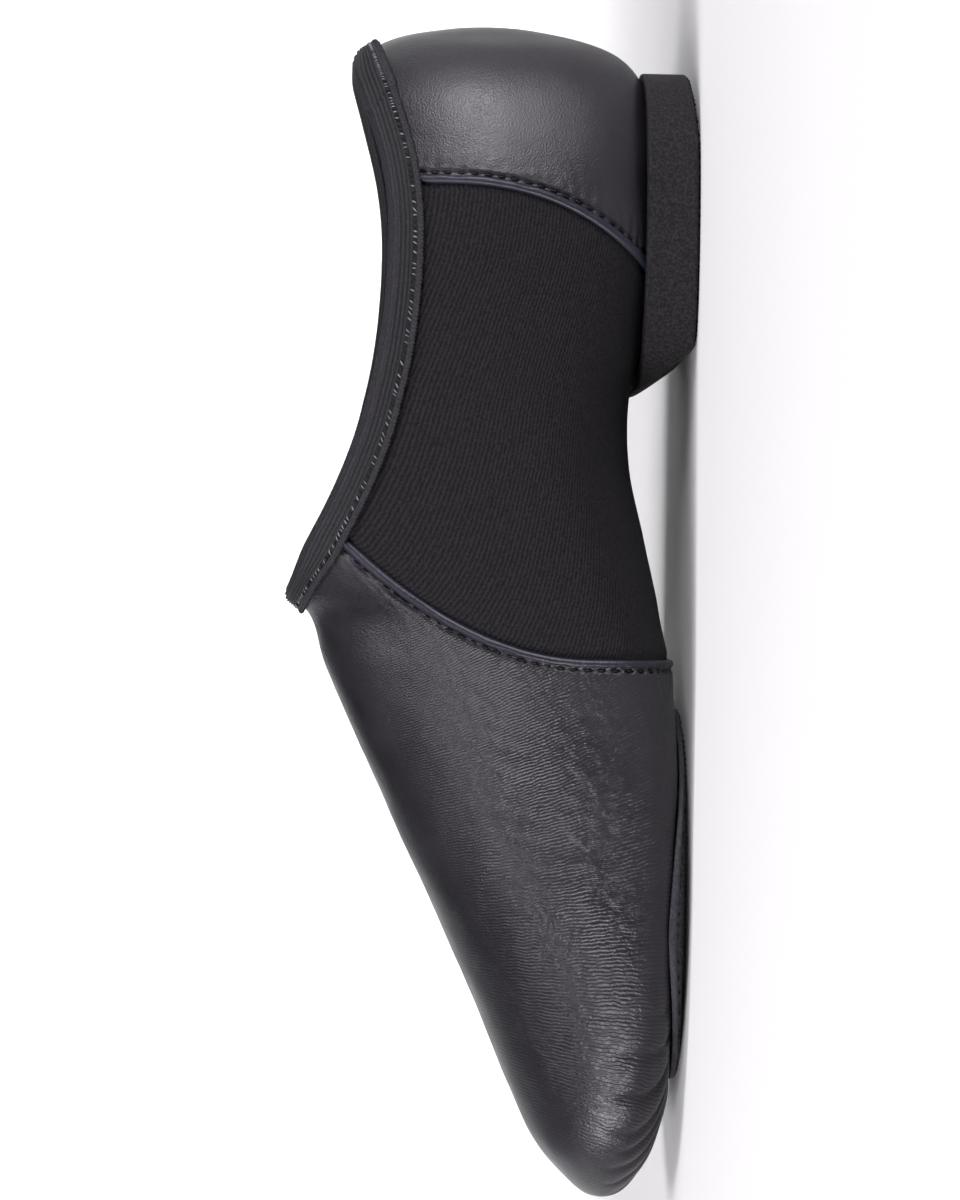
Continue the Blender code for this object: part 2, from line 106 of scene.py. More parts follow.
# Heel block
HEEL_START = 0.0090
HEEL_LENGTH = 0.0677
HEEL_WIDTH = 0.0590
HEEL_WALL = 0.0034
HEEL_BREAST_FOOT = 0.0595
HEEL_BREAST_ANGLE = math.radians(53)
HEEL_SKEW = math.radians(2.5)
HEEL_ROCKER_LENGTH = 0.0160
HEEL_ROCKER_RISE = 0.0014
HEEL_ROUND = 0.7 * MM

# Forefoot sole patch
PATCH_START = 0.1418
PATCH_LENGTH = 0.0779
PATCH_WIDTH = 0.9135 * BALL_WIDTH
PATCH_SHIFT = 0.0010
PATCH_CENTRE = 0.1836
PATCH_RADIUS = 0.0365
PATCH_ROUND = 0.45 * MM

# Tread: rows of small four-sided pyramids. inset: of the tread from the piece's outline.
Tread = namedtuple("Tread", "across along inset skew")
TREAD_DEPTH = 0.42 * MM
HEEL_TREAD = Tread(2.95 * MM, 1.87 * MM, 0.55 * MM, 0.02)
PATCH_TREAD = Tread(2.95 * MM, 2.20 * MM, 0.7 * MM, 0.06)

# The same sections, collar and outlines that the solids are made from
Section = namedtuple("Section", "station width inward lift low widest high ridge sole crown")
SECTIONS = [
    Section(0.0000, 0.000, -0.009, 1.0, 0.425, 0.425, 0.425, 0.000, 0.60, 0.55),
    Section(0.0025, 0.105, -0.009, 1.0, 0.320, 0.425, 0.530, 0.000, 0.60, 0.55),
    Section(0.0106, 0.238, -0.008, 1.0, 0.195, 0.415, 0.655, 0.000, 0.62, 0.55),
    Section(0.0253, 0.425, -0.005, 1.0, 0.093, 0.400, 0.745, 0.000, 0.68, 0.52),
    Section(0.0490, 0.608, -0.001, 1.0, 0.035, 0.390, 0.835, 0.000, 0.76, 0.50),
    Section(0.0816, 0.755, 0.003, 1.0, 0.010, 0.385, 0.910, 0.000, 0.82, 0.48),
    Section(0.1306, 0.883, 0.008, 1.0, 0.000, 0.380, 0.965, 0.000, 0.84, 0.46),
    Section(0.1959, 0.956, 0.012, 1.0, 0.004, 0.375, 1.000, 0.000, 0.84, 0.45),
    Section(0.2612, 0.940, 0.015, 0.9, 0.030, 0.370, 1.025, 0.005, 0.78, 0.45),
    Section(0.3184, 0.910, 0.008, 0.8, 0.072, 0.365, 1.050, 0.010, 0.70, 0.45),
    Section(0.3755, 0.924, 0.000, 0.6, 0.083, 0.340, 1.065, 0.020, 0.64, 0.45),
    Section(0.4327, 0.947, -0.002, 0.4, 0.059, 0.300, 1.045, 0.030, 0.64, 0.45),
    Section(0.4796, 0.974, -0.003, 0.2, 0.041, 0.250, 0.985, 0.040, 0.66, 0.45),
    Section(0.5061, 0.984, -0.002, 0.1, 0.034, 0.220, 0.916, 0.044, 0.69, 0.46),
    Section(0.5469, 0.987, -0.002, 0.0, 0.017, 0.180, 0.884, 0.048, 0.74, 0.47),
    Section(0.6122, 0.974, -0.004, 0.0, 0.001, 0.130, 0.796, 0.048, 0.82, 0.48),
    Section(0.6776, 0.975, -0.003, 0.0, 0.000, 0.115, 0.706, 0.046, 0.86, 0.49),
    Section(0.7429, 1.000, 0.000, 0.0, 0.000, 0.108, 0.614, 0.042, 0.88, 0.50),
    Section(0.8082, 0.954, 0.002, 0.0, 0.000, 0.108, 0.523, 0.036, 0.86, 0.51),
    Section(0.8653, 0.860, 0.010, 0.0, 0.000, 0.112, 0.450, 0.028, 0.80, 0.53),
    Section(0.9143, 0.725, 0.018, 0.0, 0.008, 0.122, 0.388, 0.020, 0.72, 0.55),
    Section(0.9531, 0.547, 0.020, 0.0, 0.034, 0.138, 0.330, 0.012, 0.64, 0.56),
    Section(0.9796, 0.340, 0.020, 0.0, 0.070, 0.150, 0.262, 0.006, 0.58, 0.56),
    Section(0.9952, 0.155, 0.020, 0.0, 0.112, 0.158, 0.208, 0.002, 0.55, 0.55),
    Section(1.0000, 0.000, 0.020, 0.0, 0.160, 0.160, 0.160, 0.000, 0.55, 0.55),
]
TIP = len(SECTIONS) - 1

CollarPoint = namedtuple("CollarPoint", "station height")
COLLAR = [
    CollarPoint(-0.020, 0.830),
    CollarPoint(0.040, 0.776),
    CollarPoint(0.080, 0.737),
    CollarPoint(0.132, 0.695),
    CollarPoint(0.183, 0.679),
    CollarPoint(0.235, 0.688),
    CollarPoint(0.286, 0.712),
    CollarPoint(0.338, 0.755),
    CollarPoint(0.389, 0.822),
    CollarPoint(0.441, 0.910),
    CollarPoint(0.478, 0.986),
    CollarPoint(0.530, 1.070),
]

PlanPoint = namedtuple("PlanPoint", "along half")
HEEL_PLAN = [
    PlanPoint(0.000, 0.00),
    PlanPoint(0.022, 0.34),
    PlanPoint(0.085, 0.62),
    PlanPoint(0.185, 0.82),
    PlanPoint(0.320, 0.94),
    PlanPoint(0.480, 0.99),
    PlanPoint(0.640, 1.00),
    PlanPoint(0.780, 0.95),
    PlanPoint(0.890, 0.82),
    PlanPoint(0.960, 0.58),
    PlanPoint(0.992, 0.28),
    PlanPoint(1.000, 0.00),
]
PATCH_PLAN = [
    PlanPoint(0.000, 0.00),
    PlanPoint(0.028, 0.17),
    PlanPoint(0.080, 0.36),
    PlanPoint(0.180, 0.62),
    PlanPoint(0.310, 0.84),
    PlanPoint(0.430, 0.96),
    PlanPoint(0.560, 1.00),
    PlanPoint(0.680, 0.94),
    PlanPoint(0.800, 0.79),
    PlanPoint(0.900, 0.59),
    PlanPoint(0.965, 0.35),
    PlanPoint(0.992, 0.16),
    PlanPoint(1.000, 0.00),
]

# Folds of the leather under the toe. inner and outer: direction from the middle of the patch, in degrees
# from the toe, at the patch and at the fold's far end. reach: distance of the far end from that middle.
ToeFold = namedtuple("ToeFold", "inner outer reach depth")
TOE_FOLDS = [
    ToeFold(-61, -62, 43 * MM, 0.35),
    ToeFold(-49, -49, 46 * MM, 0.70),
    ToeFold(-40, -41, 49 * MM, 0.90),
    ToeFold(-34, -31, 52 * MM, 0.80),
    ToeFold(-28, -25, 55 * MM, 1.00),
    ToeFold(-22, -18, 56 * MM, 0.85),
    ToeFold(-16, -12, 58 * MM, 1.00),
    ToeFold(-10, -7, 58 * MM, 0.80),
    ToeFold(-4, -2, 58 * MM, 1.00),
    ToeFold(3, 3, 57 * MM, 0.90),
    ToeFold(9, 9, 57 * MM, 1.00),
    ToeFold(17, 15, 56 * MM, 0.80),
    ToeFold(22, 21, 53 * MM, 1.00),
    ToeFold(28, 26, 52 * MM, 0.80),
    ToeFold(36, 36, 49 * MM, 0.90),
    ToeFold(46, 48, 46 * MM, 0.60),
    ToeFold(58, 60, 43 * MM, 0.35),
]

# Soft creases of the leather. side: 1 outer, -1 inner. along, height: the middle of the crease, seen from
# the side. length: of the crease. angle: of its line above the floor, in degrees. width: of the trough.
Crease = namedtuple("Crease", "side along height length angle depth width")
CREASES = [
    Crease(1, 143 * MM, 44 * MM, 14 * MM, 62, 0.04 * MM, 1.3 * MM),
    Crease(1, 149 * MM, 41 * MM, 16 * MM, 66, 0.06 * MM, 1.2 * MM),
    Crease(1, 156 * MM, 37 * MM, 13 * MM, 70, 0.04 * MM, 1.1 * MM),
    Crease(1, 163 * MM, 38 * MM, 17 * MM, 74, 0.06 * MM, 1.2 * MM),
    Crease(1, 169 * MM, 34 * MM, 14 * MM, 78, 0.06 * MM, 1.0 * MM),
    Crease(1, 175 * MM, 33 * MM, 18 * MM, 80, 0.07 * MM, 1.1 * MM),
    Crease(1, 180 * MM, 29 * MM, 15 * MM, 82, 0.07 * MM, 1.0 * MM),
    Crease(1, 186 * MM, 30 * MM, 16 * MM, 84, 0.06 * MM, 1.0 * MM),
    Crease(1, 192 * MM, 27 * MM, 14 * MM, 82, 0.07 * MM, 0.9 * MM),
    Crease(1, 198 * MM, 24 * MM, 15 * MM, 86, 0.07 * MM, 0.9 * MM),
    Crease(1, 204 * MM, 22 * MM, 14 * MM, 88, 0.08 * MM, 0.9 * MM),
    Crease(1, 210 * MM, 20 * MM, 12 * MM, 84, 0.07 * MM, 0.8 * MM),
    Crease(1, 217 * MM, 18 * MM, 12 * MM, 80, 0.07 * MM, 0.8 * MM),
    Crease(1, 223 * MM, 17 * MM, 11 * MM, 76, 0.08 * MM, 0.8 * MM),
    Crease(1, 229 * MM, 15 * MM, 9 * MM, 72, 0.07 * MM, 0.8 * MM),
    Crease(-1, 146 * MM, 42 * MM, 15 * MM, 64, 0.05 * MM, 1.2 * MM),
    Crease(-1, 154 * MM, 38 * MM, 15 * MM, 70, 0.05 * MM, 1.1 * MM),
    Crease(-1, 165 * MM, 36 * MM, 16 * MM, 76, 0.06 * MM, 1.1 * MM),
    Crease(-1, 173 * MM, 33 * MM, 17 * MM, 80, 0.07 * MM, 1.1 * MM),
    Crease(-1, 182 * MM, 30 * MM, 15 * MM, 82, 0.06 * MM, 1.0 * MM),
    Crease(-1, 190 * MM, 27 * MM, 14 * MM, 84, 0.06 * MM, 0.9 * MM),
    Crease(-1, 199 * MM, 23 * MM, 15 * MM, 86, 0.07 * MM, 0.9 * MM),
    Crease(-1, 208 * MM, 21 * MM, 13 * MM, 84, 0.07 * MM, 0.9 * MM),
    Crease(-1, 216 * MM, 18 * MM, 12 * MM, 80, 0.07 * MM, 0.8 * MM),
    Crease(-1, 225 * MM, 16 * MM, 10 * MM, 74, 0.07 * MM, 0.8 * MM),
]


# The last, its seams and its collar
def smooth(rows, at):
    """Every column of a table at row numbers that may lie between two rows."""
    table = np.array(rows, float)
    last = len(rows) - 1
    at = np.clip(np.asarray(at, float), 0, last)
    index = np.minimum(at.astype(int), last - 1)
    part = (at - index)[..., None]
    before = table[np.maximum(index - 1, 0)]
    start = table[index]
    end = table[index + 1]
    after = table[np.minimum(index + 2, last)]
    bend = 2 * before - 5 * start + 4 * end - after
    twist = 3 * start - before - 3 * end + after
    values = start + 0.5 * part * (end - before + part * (bend + part * twist))
    return rows[0]._make(np.moveaxis(values, -1, 0))


def shoe_x(distance):
    """The X of a distance from the back of the heel."""
    return distance + HEEL_X


def ramp(value, low, high):
    """0 below low, 1 above high and a smooth rise between."""
    part = np.clip((value - low) / (high - low), 0, 1)
    return part * part * (3 - 2 * part)


def last_points(at, turn):
    """Points of the outer surface: at is a row number of SECTIONS, turn a share of the way round."""
    at, turn = np.broadcast_arrays(np.asarray(at, float), np.asarray(turn, float) % 1.0)
    section = smooth(SECTIONS, at)
    outer = turn <= 0.5
    side = np.where(outer, 1.0, -1.0)
    climb = np.where(outer, turn, 1 - turn) * 4
    under = climb < 1
    part = np.where(under, climb, climb - 1)
    rest = 1 - part
    weights = (rest**3, 3 * rest**2 * part, 3 * rest * part**2, part**3)

    def curve(*points):
        return sum(weight * point for weight, point in zip(weights, points))

    half = np.maximum(section.width, 0) * BALL_WIDTH / 2
    middle = -section.inward * BALL_WIDTH
    crown = middle - section.ridge * BALL_WIDTH
    edge = middle + side * half
    seat = SEAT + section.lift * HEEL_RISE
    low = seat + section.low * BODY_HEIGHT
    widest = seat + section.widest * BODY_HEIGHT
    high = seat + section.high * BODY_HEIGHT
    y_under = curve(middle, middle + side * half * section.sole, edge, edge)
    z_under = curve(low, low, widest - section.sole * (widest - low), widest)
    y_over = curve(edge, edge, crown + side * half * section.crown, crown)
    z_over = curve(widest, widest + section.crown * (high - widest), high, high)
    x = shoe_x(section.station * LENGTH)
    return np.stack([x, np.where(under, y_under, y_over), np.where(under, z_under, z_over)], axis=-1)


def last_normals(at, turn):
    """Directions straight out of the last at its points."""
    step = 2e-3
    along = last_points(np.minimum(at + step, TIP), turn) - last_points(np.maximum(at - step, 0), turn)
    around = last_points(at, turn + step / 4) - last_points(at, turn - step / 4)
    normal = np.cross(around, along)
    size = np.linalg.norm(normal, axis=-1, keepdims=True)
    return normal / np.maximum(size, 1e-12)


def last_surface(at, turn, offset):
    """Points of the last moved out by offset."""
    return last_points(at, turn) + last_normals(at, turn) * np.asarray(offset)[..., None]


def vamp_seam(z):
    """The X of the vamp's edge at a height."""
    rise = np.maximum(z - VAMP_SEAM_LOW, 0) / (VAMP_SEAM_HIGH - VAMP_SEAM_LOW)
    return shoe_x(VAMP_SEAM_X - VAMP_SEAM_REACH * rise**VAMP_SEAM_BEND)


def counter_seam(z):
    """The X of the counter's edge at a height."""
    fall = np.maximum(COUNTER_SEAM_HIGH - z, 0) / (COUNTER_SEAM_HIGH - COUNTER_SEAM_LOW)
    return shoe_x(COUNTER_SEAM_X + COUNTER_SEAM_REACH * fall**COUNTER_SEAM_BEND)


def ahead_of(seam, points):
    """Distance of each point in front of a seam, seen from the side."""
    z = points[..., 2]
    slope = (seam(z + MM) - seam(z - MM)) / (2 * MM)
    return (points[..., 0] - seam(z)) / np.sqrt(1 + slope**2)


# The collar's edge, seen from the side
COLLAR_SCAN = smooth(COLLAR, np.linspace(0, len(COLLAR) - 1, 400))
COLLAR_X = shoe_x(COLLAR_SCAN.station * LENGTH)
COLLAR_LIFT = np.interp(COLLAR_SCAN.station, [s.station for s in SECTIONS], [s.lift for s in SECTIONS])
COLLAR_Z = SEAT + COLLAR_LIFT * HEEL_RISE + COLLAR_SCAN.height * BODY_HEIGHT


def above_collar(points):
    """Distance of each point above the collar's edge, seen from the side."""
    x = points[..., 0]
    height = np.interp(x, COLLAR_X, COLLAR_Z)
    slope = (np.interp(x + MM, COLLAR_X, COLLAR_Z) - np.interp(x - MM, COLLAR_X, COLLAR_Z)) / (2 * MM)
    return (points[..., 2] - height) / np.sqrt(1 + slope**2)


# Noise, meshes and fixing
def wander(points, size, seed=0.0):
    """Smooth noise from -1 to 1, with bumps about this size."""
    places = (points.reshape(-1, 3) / size + seed).tolist()
    return np.array([noise.noise(place) for place in places]).reshape(points.shape[:-1])


def mesh_object(name, points, faces, material):
    """A smooth-shaded piece from its points and faces."""
    mesh = bpy.data.meshes.new(name)
    mesh.from_pydata(np.asarray(points).reshape(-1, 3).tolist(), [], faces)
    mesh.validate()
    mesh.materials.append(material)
    mesh.shade_smooth()
    made = bpy.data.objects.new(name, mesh)
    bpy.context.scene.collection.objects.link(made)
    return made


def grid_faces(rows, columns, closed=True):
    """Four-sided faces of a grid whose points are numbered row by row."""
    faces = []
    last = columns if closed else columns - 1
    for row in range(rows - 1):
        for column in range(last):
            a = row * columns + column
            b = row * columns + (column + 1) % columns
            faces.append((a, b, b + columns, a + columns))
    return faces


def dress(piece, slot, *nodes):
    """Fixes a piece to the shoe and hides the solids it stands for."""
    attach(piece, "root")
    if nodes:
        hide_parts(*nodes)


# Grids that follow a seam. EDGE_ROWS: the close rows of a turned edge, by distance from the edge.
SCAN = np.linspace(0, TIP, 2400)
EDGE_ROWS = np.arange(0, 4.4 * MM, 0.16 * MM)


class Lines:
    """Lines along the shoe, one at each turn, on which rows are set out by distance."""

    def __init__(self, turns):
        self.points = last_points(SCAN[:, None], turns[None, :])
        steps = np.linalg.norm(np.diff(self.points, axis=0), axis=-1)
        self.length = np.vstack([np.zeros(len(turns)), np.cumsum(steps, axis=0)])

    def last_crossing(self, values):
        """Row number after which values stay above zero, on each line."""
        found = []
        for column in values.T:
            below = np.nonzero(column < 0)[0]
            index = below[-1] if len(below) else 0
            if index >= len(SCAN) - 1:
                found.append(SCAN[-1])
                continue
            here, there = column[index], column[index + 1]
            found.append(SCAN[index] + (SCAN[1] - SCAN[0]) * (-here / max(there - here, 1e-12)))
        return np.array(found)

    def rows(self, start, end, near, count, fine_end=False):
        """Row numbers from start to end on each line, with the distances near kept at the fine end."""
        columns = []
        for line, (first, last) in enumerate(zip(start, end)):
            distance = self.length[:, line]
            low = np.interp(first, SCAN, distance)
            high = np.interp(last, SCAN, distance)
            rest = np.linspace(near[-1], max(high - low, near[-1] + MM), count + 1)[1:]
            set_out = np.concatenate([near, rest])
            places = high - set_out[::-1] if fine_end else low + set_out
            columns.append(np.interp(places, distance, SCAN))
        return np.array(columns).T


def seam_run(at, turns):
    """Distance round the shoe, from under the foot, to each point of a line along a seam."""
    line = last_points(at, turns)
    steps = np.linalg.norm(np.diff(line, axis=0), axis=-1)
    return np.concatenate([[0], np.cumsum(steps)])


# Relief of the leather and the cloth
def stitch_phase(run):
    """An angle that is zero at the middle of every stitch along a seam."""
    return 2 * np.pi * (run / STITCH_PITCH - STITCH_LENGTH / STITCH_PITCH / 2)


def turned_edge(distance, run, points):
    """Height of the leather at a distance from its turned, stitched edge."""
    long_size, long_share, long_seed = 3.5 * MM, 0.17, 5.1
    short_size, short_share, short_seed = 1.2 * MM, 0.13, 2.2
    long_swell = wander(points, long_size, long_seed)
    short_swell = wander(points, short_size, short_seed)
    uneven = 1 + long_share * long_swell + short_share * short_swell
    across = np.clip(distance / (LIP_WIDTH * uneven), 0, 1)
    lip = (LIP_HEIGHT * uneven + TUCK) * np.sqrt(np.clip(1 - (2 * across - 1) ** 2, 0, 1)) ** 0.7 - TUCK
    behind = PANEL_HEIGHT * (1 - ramp(distance, GROOVE_AT, GROOVE_AT + PANEL_FADE))
    under_stitch = ramp(np.cos(stitch_phase(run)), -0.75, -0.1)
    depth = GROOVE_DEPTH + STITCH_SINK * under_stitch
    behind = behind - depth * np.exp(-(((distance - GROOVE_AT) / GROOVE_WIDTH) ** 2))
    mixed = ramp(distance, LIP_WIDTH * 0.80, LIP_WIDTH * 1.02)
    return lip * (1 - mixed) + behind * mixed


def puckers(points, distance, run):
    """Small gathers of the leather behind a stitched seam."""
    pull_reach, pull_depth = 1.6 * MM, 0.20 * MM
    gather_reach, gather_depth, gather_size = 5.0 * MM, 0.16 * MM, 1.5 * MM
    behind = distance - GROOVE_AT
    pull = np.exp(-np.maximum(behind, 0) / pull_reach) * ramp(behind, -0.2 * MM, 0.7 * MM)
    gather = np.exp(-np.maximum(behind, 0) / gather_reach) * ramp(behind, -0.2 * MM, 1.2 * MM)
    gathers = gather * gather_depth * wander(points, gather_size)
    return -pull * pull_depth * np.cos(stitch_phase(run)) + gathers


def crease_relief(points):
    """Troughs with soft ridges beside them, at listed places on the vamp."""
    bow, ridge_at, ridge_share = 9.0, 1.7, 0.45
    height = np.zeros(points.shape[:-1])
    for crease in CREASES:
        along = points[..., 0] - shoe_x(crease.along)
        up = points[..., 2] - crease.height
        turn = math.radians(-crease.angle)
        run = along * math.cos(turn) + up * math.sin(turn)
        across = up * math.cos(turn) - along * math.sin(turn) + bow * run**2
        on_side = ramp(points[..., 1] * crease.side, 6 * MM, 14 * MM)
        fade = np.exp(-((run / (crease.length / 2)) ** 4)) * on_side
        trough = np.exp(-((across / crease.width) ** 2))
        ridge = np.exp(-(((np.abs(across) - ridge_at * crease.width) / crease.width) ** 2))
        height += crease.depth * fade * (ridge_share * ridge - trough)
    return height


def from_middle(distance, degrees):
    """The place at a distance from the middle of the patch, in a direction from the toe."""
    angle = math.radians(degrees)
    return distance * np.array([math.cos(angle), math.sin(angle)])


def toe_relief(points):
    """The gathered folds of the leather under the toe, between the patch and the rim."""
    x = points[..., 0] - shoe_x(PATCH_CENTRE)
    y = points[..., 1] - PATCH_SHIFT
    low_enough = 1 - ramp(points[..., 2], 10 * MM, 17 * MM)
    radius = np.hypot(x, y)
    field = low_enough * ramp(radius, 33 * MM, 36 * MM) * ramp(x, 8 * MM, 22 * MM)
    sharp_width, sharp_depth = 0.55 * MM, 0.50 * MM
    broad_width, broad_depth = 1.6 * MM, 0.70 * MM
    height = np.zeros(points.shape[:-1])
    for fold in TOE_FOLDS:
        first = from_middle(PATCH_RADIUS, fold.inner)
        way = from_middle(fold.reach, fold.outer) - first
        length = np.hypot(*way)
        way = way / length
        run = ((x - first[0]) * way[0] + (y - first[1]) * way[1]) / length
        across = -(x - first[0]) * way[1] + (y - first[1]) * way[0]
        across = across + 0.35 * MM * np.sin(run * 5 + fold.inner)
        fade = ramp(run, -0.35, 0.05) * (1 - ramp(run, 0.80, 1.30))
        sharp = np.exp(-((across / sharp_width) ** 2))
        broad = np.exp(-((across / broad_width) ** 2))
        height -= fold.depth * fade * (sharp_depth * sharp + broad_depth * broad)
    swell = ramp(radius, 35 * MM, 40 * MM) * (1 - ramp(radius, 48 * MM, 58 * MM))
    return field * (height + 0.42 * MM * swell)


def skin_waves(points):
    """Slow hollows and swells of soft leather."""
    return 0.16 * MM * wander(points, 11 * MM) + 0.05 * MM * wander(points, 4 * MM, 3.7)


# Leather, cloth and lining panels
def shell(name, rows, turns, height, material, tip=None, lip=None):
    """A panel on the grid of rows and turns, raised by height, that ends under the collar binding.

    tip: closes the panel at its toe (1) or heel (-1). lip: the material of the turned edge, and the
    distance of every point from that edge.
    """
    base = last_points(rows, turns[None, :])
    normal = last_normals(rows, turns[None, :])
    points = base + normal * height[..., None]
    count_rows, count_turns = rows.shape
    flat = points.reshape(-1, 3)
    faces = grid_faces(count_rows, count_turns)
    if tip is not None:
        ring = (count_rows - 1) * count_turns if tip > 0 else 0
        centre = flat[ring : ring + count_turns].mean(axis=0)
        flat = np.vstack([flat, centre])
        for column in range(count_turns):
            a = ring + column
            b = ring + (column + 1) % count_turns
            faces.append((a, b, len(flat) - 1) if tip > 0 else (b, a, len(flat) - 1))
    over = above_collar(flat) > -UNDER_BINDING
    faces = [face for face in faces if not any(over[corner] for corner in face)]
    piece = tidy_mesh(mesh_object(name, flat, faces, material))
    if lip is not None:
        edge_material, distance = lip
        piece.data.materials.append(edge_material)
        on_lip = np.append(distance.ravel() < LIP_WIDTH, False)
        is_edge = [all(on_lip[corner] for corner in face) for face in faces]
        piece.data.polygons.foreach_set("material_index", is_edge)
    return piece


def tidy_mesh(piece):
    """Removes points that no face uses."""
    mesh = piece.data
    used = {corner for polygon in mesh.polygons for corner in polygon.vertices}
    if len(used) < len(mesh.vertices):
        order = {old: new for new, old in enumerate(sorted(used))}
        points = [tuple(mesh.vertices[old].co) for old in sorted(used)]
        faces = [[order[corner] for corner in polygon.vertices] for polygon in mesh.polygons]
        fresh = bpy.data.meshes.new(mesh.name)
        fresh.from_pydata(points, [], faces)
        fresh.materials.append(mesh.materials[0])
        fresh.shade_smooth()
        piece.data = fresh
        bpy.data.meshes.remove(mesh)
    return piece


def fine_turns(count):
    """Turns round the shoe, set closer together under the middle of the foot."""
    close = 0.014
    sides = np.linspace(close, 1 - close, count)
    return np.concatenate([np.linspace(0, close, 28)[:-1], sides, np.linspace(1 - close, 1, 28)[1:-1]])


def sole_seam(points, turns):
    """Grooves and welts of the seam that runs along the middle of the underside."""
    groove_width, groove_depth = 0.45 * MM, 0.60 * MM
    welt_at, welt_width, welt_height = 1.3 * MM, 0.8 * MM, 0.22 * MM
    under = 1 - ramp(np.minimum(turns, 1 - turns)[None, :], 0.08, 0.14)
    along = (points[..., 0] - shoe_x(78 * MM)) / (64 * MM)
    off_seam = np.abs(points[..., 1] - (0.2 + 1.3 * along) * MM)
    groove = np.exp(-((off_seam / groove_width) ** 2))
    welt = np.exp(-(((off_seam - welt_at) / welt_width) ** 2))
    return under * (welt_height * welt - groove_depth * groove)


def back_seam(points):
    """The groove and welt of the counter's centre seam."""
    groove_width, groove_depth = 0.35 * MM, 0.50 * MM
    welt_width, welt_height = 1.6 * MM, 0.16 * MM
    off_seam = np.abs(points[..., 1] - 0.5 * MM)
    at_back = 1 - ramp(points[..., 0], shoe_x(14 * MM), shoe_x(20 * MM))
    welt = np.exp(-((off_seam / welt_width) ** 2))
    groove = np.exp(-((off_seam / groove_width) ** 2))
    return at_back * (welt_height * welt - groove_depth * groove)


def make_vamp(material, edge_material):
    """The leather over the toes and the instep, with its turned and stitched edge at the rear."""
    turns = fine_turns(350)
    lines = Lines(turns)
    inside = np.minimum(ahead_of(vamp_seam, lines.points), -above_collar(lines.points) - 1.0 * MM)
    start = lines.last_crossing(inside)
    rows = lines.rows(start, np.full(len(turns), TIP - 0.02), EDGE_ROWS, 196)
    base = last_points(rows, turns[None, :])
    distance = ahead_of(vamp_seam, base)
    run = seam_run(lines.last_crossing(ahead_of(vamp_seam, lines.points) - GROOVE_AT), turns)
    height = turned_edge(distance, run, base) + puckers(base, distance, run)
    height += crease_relief(base) + toe_relief(base)
    height += skin_waves(base) * ramp(distance, 4 * MM, 12 * MM)
    height += sole_seam(base, turns) * (1 - ramp(distance, 12 * MM, 16 * MM))
    panel = shell("vamp_leather", rows, turns, height, material, tip=1, lip=(edge_material, distance))
    dress(panel, "leather", "vamp")


def make_counter(material, edge_material):
    """The leather round the heel, with its turned edge in front and a centre seam at the back."""
    turns = np.arange(320) / 320
    lines = Lines(turns)
    behind = ahead_of(counter_seam, lines.points)
    end = lines.last_crossing(behind)
    rows = lines.rows(np.full(len(turns), 0.02), end, EDGE_ROWS, 80, fine_end=True)
    base = last_points(rows, turns[None, :])
    distance = -ahead_of(counter_seam, base)
    run = seam_run(lines.last_crossing(behind + GROOVE_AT), turns)
    height = turned_edge(distance, run, base) + puckers(base, distance, run)
    height += 0.5 * skin_waves(base) * ramp(distance, 4 * MM, 12 * MM)
    height += back_seam(base)
    panel = shell("counter_leather", rows, turns, height, material, tip=-1, lip=(edge_material, distance))
    dress(panel, "leather", "counter")


def make_fabric(material):
    """The knitted panel between the two leather pieces, tucked under both."""
    turns = fine_turns(270)
    lines = Lines(turns)
    start = lines.last_crossing(ahead_of(counter_seam, lines.points) + 0.8 * MM)
    end = lines.last_crossing(ahead_of(vamp_seam, lines.points) - 0.8 * MM)
    rows = lines.rows(start, end, np.arange(0, 1.0 * MM, 0.5 * MM), 110)
    base = last_points(rows, turns[None, :])
    to_seam = np.minimum(ahead_of(counter_seam, base), -ahead_of(vamp_seam, base))
    height = -0.35 * MM * (1 - ramp(to_seam, 0, 1.6 * MM))
    height += 0.10 * MM * wander(base, 14 * MM, 1.3) * ramp(to_seam, 2 * MM, 8 * MM)
    height += sole_seam(base, turns)
    dress(shell("stretch_side", rows, turns, height, material), "stretch_fabric", "upper")


def make_lining(material):
    """The inside of the shoe, a wall's thickness in from the last."""
    turns = np.arange(160) / 160
    rows = np.linspace(0.4, TIP - 0.4, 150)[:, None] * np.ones(len(turns))
    height = np.full(rows.shape, -WALL)
    piece = shell("lining", rows, turns, height, material, tip=1)
    piece.data.flip_normals()
    dress(piece, "lining", "upper")


# Collar binding. Rim: a line of its section, by its level above the collar's edge, its offset from the last
# and its place: 0 to 1 over the rim, 1 to 2 down the outside.
Rim = namedtuple("Rim", "level offset rib")
BINDING_POINTS = 1150
RIB_PITCH = 0.90 * MM
RIB_HEIGHT = 0.36 * MM
RIB_VALLEY = 0.60
TRENCH_AT = 5.15 * MM
TRENCH_WIDTH = 0.45 * MM
TRENCH_DEPTH = 0.26 * MM
LOOP_PITCH = 0.80 * MM
LOOP_HEIGHT = 0.17 * MM
LAP_HEIGHT = 0.42 * MM
STITCH_HALF = 0.42 * MM


